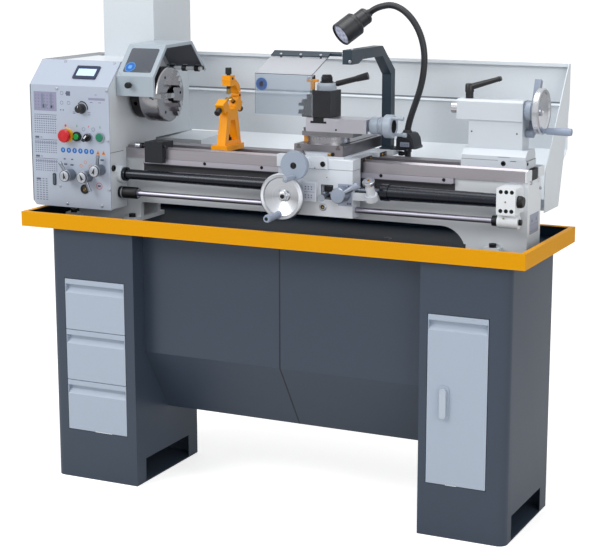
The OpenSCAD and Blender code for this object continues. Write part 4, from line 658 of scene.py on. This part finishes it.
def apron_detail():
    """Sight, oilers, plates and joint line of the apron, wipers and screws of the carriage's ends."""
    put = partial(piece, body="carriage")
    f = face_at(0, -125, 0)
    boss = face_at(0, -130, 0)
    box = face_at(0, -137, 0)
    sight = [(6.5, 0), (10.4, 0), (10.4, 2), (9, 3), (6.5, 3)]
    put("apron_sight_ring", [turned(f, 159.5, 864, sight, closed=True)], zinc)
    put("apron_sight_glass", [turned(f, 159.5, 864, [(6.6, 0), (6.6, 1.5), (0, 2.2)])], glass_dark)
    put("apron_sight_float", [slab(f, disc(160.5, 863, 2.4, 12), 1.2, 2.6)], brass)
    oiler = [(1.6, 0), (6.6, 0), (6.6, 1.2), (5.8, 1.8), (1.6, 1.2)]
    put("apron_oiler", [turned(f, 172, 946, oiler, closed=True)], white_cap)
    put("apron_oiler_ball", [turned(f, 172, 946, [(1.7, 0), (1.7, 1), (0, 1.3)], 12)], dark_steel)
    put("boss_screw", [cap_screw(boss, 161.5, 982.4, 7.6, 0, 2.2)], dark_steel)
    put("boss_oiler", [slab(boss, disc(137.5, 970.5, 1.5, 12), 0, 0.5)], dark_steel)
    lines = plates(boss, -0.4, 0.12, (22.3, 967.7, 174.7, 968.5))
    lines += plates(f, -0.4, 0.2, (175.2, 967.7, 248.6, 968.7))
    lines += plates(end_face(248.9), -0.5, 0.2, (-125, 967.6, -64, 968.4))
    put("saddle_joint_line", lines, seam)
    put("direction_plate", plates(box, 0, 0.4, (107.5, 882, 141.5, 929, 1)), label_pale)
    marks = bars(box, 111, 911, 138, 924, 2, 3, 0.42, 0.6) + bars(box, 111, 888, 138, 901, 2, 3, 0.42, 0.6)
    marks += plates(box, 0.3, 0.6, (109, 904.6, 140, 905.6))
    put("direction_marks", marks, ink_dark)
    put("halfnut_plate", plates(f, 0, 0.4, (205, 871, 247.4, 931, 1)), label_grey)
    marks = plates(f, 0.3, 0.6, *[(a, b, a + 5, b + 6, 1) for a, b in ((232, 875), (239, 875), (234, 922))])
    put("halfnut_marks", marks, ink_dark)
    slot = plates(f, 0, 0.3, (154.5, 885.6, 157, 926), (188, 885.6, 190.4, 926))
    slot += plates(f, 0, 0.35, (154.5, 923.4, 190.4, 926), (154.5, 885.6, 190.4, 888))
    put("slot_frame", slot, dark_steel)
    put("slot_back_plate", plates(face_at(0, -110.7, 0), 0, 0.5, (157.5, 888.5, 187.5, 922.5)), rubber)
    right = end_face(249)
    wipers = ((-58, 970, -2, 996.4, 2), (60, 970, 103, 996, 2), (-74, 957.5, -62.8, 996.4, 1.5))
    put("way_wipers", [slab(right, rect(*wiper), 0.1, 3.2, 0.5) for wiper in wipers], rubber)
    outer = end_face(252.2)
    screws = ((-50, 990.5), (-12, 990.5), (70, 990), (94, 990))
    put("wiper_screws", [dome_screw(outer, y, z, 3) for y, z in screws], brass)
    left = face_at(22, 0, 0, -Y, Z)
    put("way_wipers_left", [slab(left, rect(2, 986.2, 58, 996.4, 2), 0.1, 3.2, 0.5)], rubber)
    end = end_face(248)
    put("dial_bracket_plate", [slab(end, rect(-72, 884, -58, 916, 1.5), 0, 3, 0.5)], dark_steel)
    outer = end_face(251)
    put("dial_bracket_screws", [dome_screw(outer, -65, z, 3.4) for z in (890, 910)], zinc)


def apron_controls_detail():
    """Thread dial's face, nuts and screws of the handwheels, grip and cap of the half-nut lever."""
    top = face_at(304, -147.2, 948.6, X, (0, 0.8988, 0.4384))
    piece("thread_dial_screw", [cap_screw(top, 0, 0, 4, -0.5, 1.6)], brass, "thread_dial")
    piece("thread_dial_ring", [ring(top, 0, 0, 12.2, 13.2, -1, 0.4)], ink_mid, "thread_dial")
    ticks = [slab(top, arc_band(0, 0, 9.4, 11.8, t - 2, t + 2, 3), -1, 0.4) for t in np.arange(12) * 30]
    piece("thread_dial_ticks", ticks, ink_mid, "thread_dial")
    for name, place, r, high, look, body in (
            ("carriage_wheel_nut", (52, -157, 890), 6.2, 3, dark_steel, "carriage_wheel"),
            ("carriage_handle_screw", (42, -236, 839), 5, 1.4, dark_steel, "carriage_wheel"),
            ("cross_handle_screw", (104, -250, 951), 3.8, 1.2, zinc, "cross_wheel")):
        piece(name, [cap_screw(face_at(*place), 0, 0, r, -0.2, high)], look, body)
    c, s = cos_sin(61)
    way = np.array([s, 0, c])
    grip = [np.array([221, -155, 904]) + q * way for q in (46, 50, 60, 66, 67.5)]
    piece("halfnut_grip", [tube(grip, np.array([8.2, 9, 10, 9.4, 6]), Y, 24)],
          material("grey_lever_enamel", enamel("#8f99aa", 0.36)), "halfnut_lever")
    piece("cross_wheel_nut", [slab(face_at(101, -185, 982), disc(0, 0, 5.6, 6), -0.2, 2.6, 0.4)],
          dark_steel, "cross_wheel")
    piece("halfnut_cap", [slab(face_at(221, -165, 904), disc(0, 0, 18.6, 40), -0.2, 0.9, 0.5)],
          material("grey_hub_cap", enamel("#8b96a8", 0.36)), "halfnut_lever")


def slide_detail():
    """Graduations, nuts and slot plugs of the cross slide, swivel and top slide, and of the
    tailstock's quill dial."""
    front = face_at(0, -118, 0)
    collar = [(5, -3), (5, 3), (4.2, 4), (2.4, 4), (2.4, 1), (0, 1)]
    piece("cross_nut_collar", [turned(front, 186, 1009, collar)], dark_steel, "cross_slide")
    piece("cross_nut", [slab(front, rect(171, 1003.6, 181, 1010, 1), -2, 2.4, 0.5)], brass, "cross_slide")
    half = [(7, 1021), (7, 1026.4), (4, 1026.4), (4, 1033)]
    tee = np.array([(-7, 1021)] + half + [(-x, z) for x, z in half[:0:-1]])
    for side, x in (("left", 83), ("right", 201)):
        piece("slot_end_plug_" + side, [slab(front, tee + (x, 0), -52, 0.05)], plug_steel, "cross_slide")
    marks = []
    for i, a in enumerate(np.arange(-170, 0, 10.0)):
        c, s = cos_sin(a)
        rim = face_at(142 + 59 * c, -50 + 59 * s, 0, (-s, c, 0), Z)
        marks.append(slab(rim, rect(-0.35, 1047 - (i % 2 == 0) * 3, 0.35, 1051.5), -0.1, FILM))
    piece("swivel_ticks", marks, ink_dark, "swivel_base")
    piece("gib_screw_hole", [slab(face_at(0, -85, 0), disc(180, 1071.7, 2.8, 16), 0, 0.3)],
          dark_steel, "top_slide")
    for name, body, x, y, z, r, long in (("top_dial_ticks", "top_wheel", 300, -50, 1085, 24, 3),
                                         ("quill_dial_ticks", "tail_wheel", 684.4, 17, 1137, 25, 4)):
        marks = []
        for i, a in enumerate(np.arange(0, 360, 9.0)):
            c, s = cos_sin(a)
            rim = face_at(0, y + r * c, z + r * s, X, (0, -s, c))
            reach = long * (1.6 if i % 5 == 0 else 1)
            marks.append(slab(rim, rect(x, -0.45, x + reach, 0.45), -0.1, FILM))
        piece(name, marks, ink_dark, body)


def tool_post_detail():
    """Nut and lever sleeve on the tool post's top, height clip with its screws, holder's edge."""
    put = partial(piece, body="tool_post")
    cap = face_at(133, -43, 1195.4, X, Y)
    nut = [slab(cap, disc(0, 0, 18.5, 32), 0.1, 3.4, 0.5), slab(cap, disc(0, 0, 17.35, 6), 3.5, 16, 1)]
    piece("post_nut", nut, dark_steel, "post_lever")
    (up, out), (c, s) = cos_sin(75), cos_sin(11)
    arm = np.array([out * c, out * s, up])
    across = np.array([-s, c, 0])
    path = [np.array([133, -43, 1185.4]) + q * arm for q in (28.5, 30, 84, 86)]
    piece("post_lever_sleeve", [tube(path, np.array([7, 7.8, 7.8, 7]), across, 24)],
          dark_steel, "post_lever")
    f = face_at(0, -60, 0)
    put("height_clip", [slab(f, rect(80, 1197, 113, 1204.5, 2), -8, 0, 0.6),
                        slab(f, rect(91, 1176, 101, 1197.4, 1), -7, -0.6, 0.6)], orange_cap)
    up = face_at(0, 0, 0, X, Y)
    screws = [turned(up, x, -54, [(3.6, z), (3.6, z + 5), (2.4, z + 6), (0, z + 6)], 16)
              for x, z in ((84, 1204.4), (95, 1210))]
    put("height_clip_screws", screws, zinc)
    stud = [(4.6, 1196), (4.6, 1214), (3.6, 1215), (0, 1215)]
    put("height_clip_stud", [turned(face_at(96, -49, 0, X, Y), 0, 0, stud, 20)], dark_steel)
    put("holder_edge", plates(face_at(0, -76, 0), 0, 0.5, (103.4, 1103, 105.6, 1164)), satin)


def tailstock_detail():
    """Pins, screws and joint line of the tailstock, and the cap of the feed rod."""
    put = partial(piece, body="tailstock")
    foot = face_at(0, -25, 0)
    pins = [slab(face_at(0, -5, 0), disc(x, z, 2.2, 12), 0, 0.4) for x, z in ((542, 1078), (668, 1077))]
    put("tailstock_pins", pins, dark_steel)
    put("gib_screw", [cap_screw(foot, 639, 999, 6.8, -16, 0.6)], dark_steel)
    lines = plates(foot, -0.3, 0.2, (522.5, 1006.4, 624, 1007.2), (624, 1015, 657, 1016))
    lines += plates(foot, -0.3, 0.4, (658, 1005.6, 674, 1007))
    end = end_face(702)
    lines += plates(end, -0.3, 0.2, (-24.6, 1006.4, 59, 1007.4))
    put("tailstock_joint_line", lines, seam)
    put("tailstock_set_screw", [cap_screw(end, -14, 1000, 4.4, 0, 2)], dark_steel)
    cap = [(7.9, -4), (7.9, 1), (6.9, 1.6), (0, 1.6)]
    piece("feed_rod_cap", [turned(end_face(717), -100, 858, cap)], dark_steel, "feed_rod")


def bed_end_detail():
    """Oilers of the bearing bracket, plate and bolt on the bed's end, painted shadow of a groove on the
    splash guard, strainer of the tray and joint of the knee panels."""
    put = partial(piece, body="base")
    oilers = [turned(face_at(0, -123, 0), 680, 913, [(2.4, 0), (2.4, 0.7), (1.4, 1), (0, 0.7)], 14),
              turned(face_at(0, -118, 0), 674, 868.7, [(2.4, -0.6), (2.4, 0.5), (1.4, 0.8), (0, 0.5)], 14)]
    put("bracket_oilers", oilers, brass)
    end = end_face(719)
    put("bed_end_plate", plates(end, 0, 0.5, (-34, 815, 42, 868, 1.5)), label_grey)
    peak = np.array([(-6, -5), (6, -5), (0, 5.6)])
    lines = plates(end, 0.4, 0.7, (-30, 839, 38, 840), (-30, 822, 38, 823))
    lines += [slab(end, peak + (y, 852), 0.4, 0.7) for y in (-15, 22)]
    put("bed_end_marks", lines, ink_mid)
    # A grey strip on the splash guard, just above its fold, is painted shade: the shadow line of a groove,
    # drawn over a fold that is a raised rib.
    put("splash_groove_painted_shadow", plates(face_at(0, 316, 0), 0, 0.5, (-504, 1128.6, 711.5, 1133.2)),
        material("splash_guard_painted_shadow", powder("#7b828b", 0.6)))
    put("drain_strainer", [slab(face_at(0, 0, 768, X, Y), disc(300, 0, 11.8, 32), 0, 1)], rubber)
    fold = np.array([0, -129, 198]) / math.hypot(129, 198)
    joint = plates(face_at(0, -145, 0), 0, 0.4, (34.8, 398, 38.2, 766))
    joint += plates(face_at(0, -16, 200, X, fold), 0, 0.4, (34.8, 0, 38.2, 236.3))
    put("knee_panel_joint", joint, ink_black)
    put("bed_end_bolt", [cap_screw(end, 46, 930, 5, 0, 4)], zinc)


def shield_detail():
    """Screws, nuts and spot of the clear shield, screws and rod ring of its post."""
    strip = face_at(0, -134.33, 1279.85, X, (0, 0.9290, 0.3702))
    xs = (41.5, 100.5, 159.8)
    piece("strip_screws", [dome_screw(strip, x, -7, 4) for x in xs], zinc, "shield")
    nut = [(3.4, -6.4), (3.4, -10), (2.4, -10.6), (0, -10.6)]
    piece("strip_nuts", [turned(strip, x, -9, nut, 14) for x in xs], dark_steel, "shield")
    spot_sign("shield_spot", face_at(0, -240.2, 0), 33, 1204, (16, 36, 0.15, 0.9), (15.6, 17.4, 0, 0.7),
              ((27, 1197, 38, 1211, 3), 0.5, 0.9), "shield")
    piece("post_front_screw", [dome_screw(face_at(0, -133, 0), 242, 1262, 4.6)], zinc, "carriage")
    piece("post_top_screw", [dome_screw(face_at(0, 0, 1292, X, Y), 234, -100, 3.6)], zinc, "carriage")
    piece("rod_end_ring", [ring(face_at(220, 0, 0, -Y, Z), 124, 1280, 6.6, 9, 0.1, 1.4)], zinc, "carriage")


def bend(a, b, c, d, count):
    """Points of a cubic curve: a and d are its ends, b and c pull it."""
    t = np.linspace(0, 1, count)[:, None]
    return a * (1 - t) ** 3 + 3 * b * t * (1 - t) ** 2 + 3 * c * t * t * (1 - t) + d * t ** 3


def work_lamp_model():
    """The work lamp: base with its hump, plate, gland and foot, ribbed neck, and a stepped head
    whose lens cluster points down and towards the operator. It stands for the plain CAD lamp."""
    put = partial(piece, body="carriage")
    lx, y, z = 303.0, 150.0, 997.0
    side = np.array([(-33, 5), (27, 5), (27, 11), (24, 13), (20, 34), (12, 46), (4, 49), (-18, 49),
                     (-26, 44), (-31, 30), (-31, 13), (-33, 11)]) + (lx, z)
    base = [slab(face_at(0, y + 30, 0), side, 0, 60, 3),
            slab(face_at(0, y - 30, 0), arc_band(lx - 4, z + 14, 19, 23, 10, 170), -1, 1.6, 0.5),
            slab(face_at(0, y + 18, 0), rect(252, z + 0.1, 302, z + 5.2), 0, 42)]
    up = face_at(0, 0, z, X, Y)
    socket = [(14, 46), (14, 50), (11, 56), (0, 56)]
    foot = [(0, -27), (8, -27), (9, -25), (9, -8), (11, -6), (11, 5.5)]
    gland = [(0, 0), (6.5, 0), (6.5, 12), (5, 14), (5, 22), (0, 22)]
    base += [turned(up, lx - 8, y, socket, 32), turned(up, lx - 6, y, foot, 28),
             turned(end_face(270.4), y, z - 12, gland, 20)]
    whole = put("lamp_base", base, black_plastic, crease=40)
    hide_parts("work_lamp")

    ends = np.array([(-8, 0, 50), (40, 0, 250), (-75, 0, 402), (-128, 0, 380)]) + (lx, y, z)
    start, top, over, tip = ends
    path = np.concatenate([bend(start, start + (10, 0, 70), top - (2, 0, 90), top, 180)[:-1],
                           bend(top, top + (2, 0, 95), over + (50, 0, 8), over, 180)[:-1],
                           bend(over, over - (22, 0, 4), tip + (18, 0, 14), tip, 50)])
    way = np.concatenate([[0], np.cumsum(np.linalg.norm(np.diff(path, axis=0), axis=1))])
    radius = 9.1 + 0.3 * np.cos(way / 4.6 * math.tau)
    put("lamp_neck", [tube(path, radius, Y, 20)], black_plastic, crease=60)
    out = np.array([-0.4937, -0.6872, -0.5332])
    u = np.cross(out, Z)
    u /= np.linalg.norm(u)
    v = np.cross(out, u)
    shell = [(0, -6), (8, -6), (11, -2), (12, 6), (21, 9), (24, 13), (24, 20), (23.2, 20.4),
             (23.2, 21.6), (24, 22), (24, 48), (31, 50), (34.5, 54), (34.5, 62), (33.8, 62.4),
             (33.8, 63.6), (34.5, 64), (34.5, 109), (33, 110.5), (31, 110), (31, 104), (0, 104)]
    put("lamp_head", [turned((tip, u, v), 0, 0, shell, 64)], black_plastic)
    lit = (tip + 104 * out, u, v)
    put("lamp_reflector", [slab(lit, disc(0, 0, 30.6, 40), 0.1, 1)], lens)
    bead = [(8, 0.6), (7.6, 1.8), (5.6, 3), (3, 3.6), (0, 3.7)]
    spots = [(0, 0), *disc(0, 0, 18.0, 6)]
    put("lamp_lenses", [turned(lit, a, b, bead, 18) for a, b in spots], lens)
    plate = face_at(0, 120, 0)
    put("lamp_plate", plates(plate, 0, 1.8, (286, 1008.6, 313, 1021, 1)), label_grey)
    put("lamp_plate_marks", bars(plate, 288, 1010.5, 312, 1019.5, 2, 5, 0.7, 2), ink_dark)


def steady_detail():
    """Clamp nut in the window of the steady, its pivot pin's end and the arch's set screw."""
    floor = face_at(-205, 17, 1013, X, Y)
    stud = [(3.6, 9), (3.6, 15), (3, 16), (0, 16)]
    nut = [slab(floor, disc(0, 0, 8, 6), 0, 9, 1), turned(floor, 0, 0, stud, 16)]
    piece("steady_clamp_nut", nut, dark_steel, "steady_base")
    side = end_face(-192)
    piece("steady_set_screws", [cap_screw(side, 17, 1190, 3.4, 0, 1.6)], dark_steel, "steady_arch")
    pin = [(4, -0.2), (4, 1), (3, 1.6), (0, 1.6)]
    piece("steady_pin_end", [turned(side, 60.94, 1139.3, pin, 18)], dark_steel, "steady_base")


front_print()
chuck_guard_detail()
apron_detail()
apron_controls_detail()
slide_detail()
tool_post_detail()
tailstock_detail()
bed_end_detail()
shield_detail()
work_lamp_model()
steady_detail()


# -------------------------------------------------------------------- studio
def ray_mask(tree, first, *others):
    """1 for rays of the kinds that are named, 0 for all other rays."""
    path = add(tree, "LightPath").node.outputs
    mask = path[first]
    for kind in others:
        mask = maths(tree, "MAXIMUM", mask, path[kind])
    return mask


def soft_room():
    """An even white world: full to the eye and in reflections, half as strong as a light."""
    world = bpy.data.worlds.new("soft_room")
    tree = empty_tree(world)
    seen = ray_mask(tree, "Is Camera Ray", "Is Transmission Ray", "Is Glossy Ray")
    sky = add(tree, "Background", {"Color": (1, 1, 1, 1), "Strength": blend(tree, seen, 0.5, 1.0)})
    add(tree, "OutputWorld", {0: sky})
    return world


def pale_floor(half=40.0):
    """A large square floor that glows to the eye, so that it meets the world softly."""
    mesh = bpy.data.meshes.new("floor")
    corners = rect(-half, -half, half, half)
    mesh.from_pydata([(x, y, 0) for x, y in corners], [], [(0, 1, 2, 3)])
    look = bpy.data.materials.new("pale_floor")
    tree = empty_tree(look)
    glow = maths(tree, "MULTIPLY", ray_mask(tree, "Is Camera Ray", "Is Transmission Ray"), 0.62)
    shader = add(tree, "BsdfPrincipled", {"Base Color": (0.8, 0.8, 0.8, 1), "Roughness": 0.9,
                                          "Emission Color": (1, 1, 1, 1), "Emission Strength": glow})
    add(tree, "OutputMaterial", {0: shader})
    mesh.materials.append(look)
    return bpy.data.objects.new("floor", mesh)


def soft_lamp(name, place, aim, size, power):
    """A round area lamp in metres and watts, turned towards its aim."""
    data = bpy.data.lights.new(name, "AREA")
    data.shape = "DISK"
    data.size = size
    data.energy = power
    lit = bpy.data.objects.new(name, data)
    lit.location = place
    lit.rotation_euler = (Vector(aim) - Vector(place)).to_track_quat("-Z", "Y").to_euler()
    return lit


def studio():
    """A pale floor under an even sky, three wide soft lamps, and the camera."""
    scene = bpy.context.scene
    scene.view_settings.view_transform = "Standard"
    scene.world = soft_room()
    floor = pale_floor()
    scene.collection.objects.link(floor)
    for lamp in (("key_lamp", (-2.6, -3.4, 3.6), (0, 0, 0.9), 2.4, 108),
                 ("fill_lamp", (3.6, -2.4, 2.2), (0, 0, 0.7), 2.6, 44),
                 ("top_lamp", (0.2, -0.4, 4.2), (0, 0, 0.9), 2.4, 60)):
        scene.collection.objects.link(soft_lamp(*lamp))

    camera = bpy.data.cameras.new("camera")
    camera.lens = 98.44
    camera.sensor_width = 36.0
    camera.clip_end = 100.0
    eye = bpy.data.objects.new("camera", camera)
    place, aim = Vector((2.0041, -4.1047, 1.5904)), Vector((-0.08187, 0.21167, 0.58861))
    turn = (aim - place).to_track_quat("-Z", "Y").to_matrix() @ Matrix.Rotation(math.radians(-0.07), 3, "Z")
    eye.matrix_world = Matrix.Translation(place) @ turn.to_4x4()
    scene.collection.objects.link(eye)
    scene.camera = eye


studio()
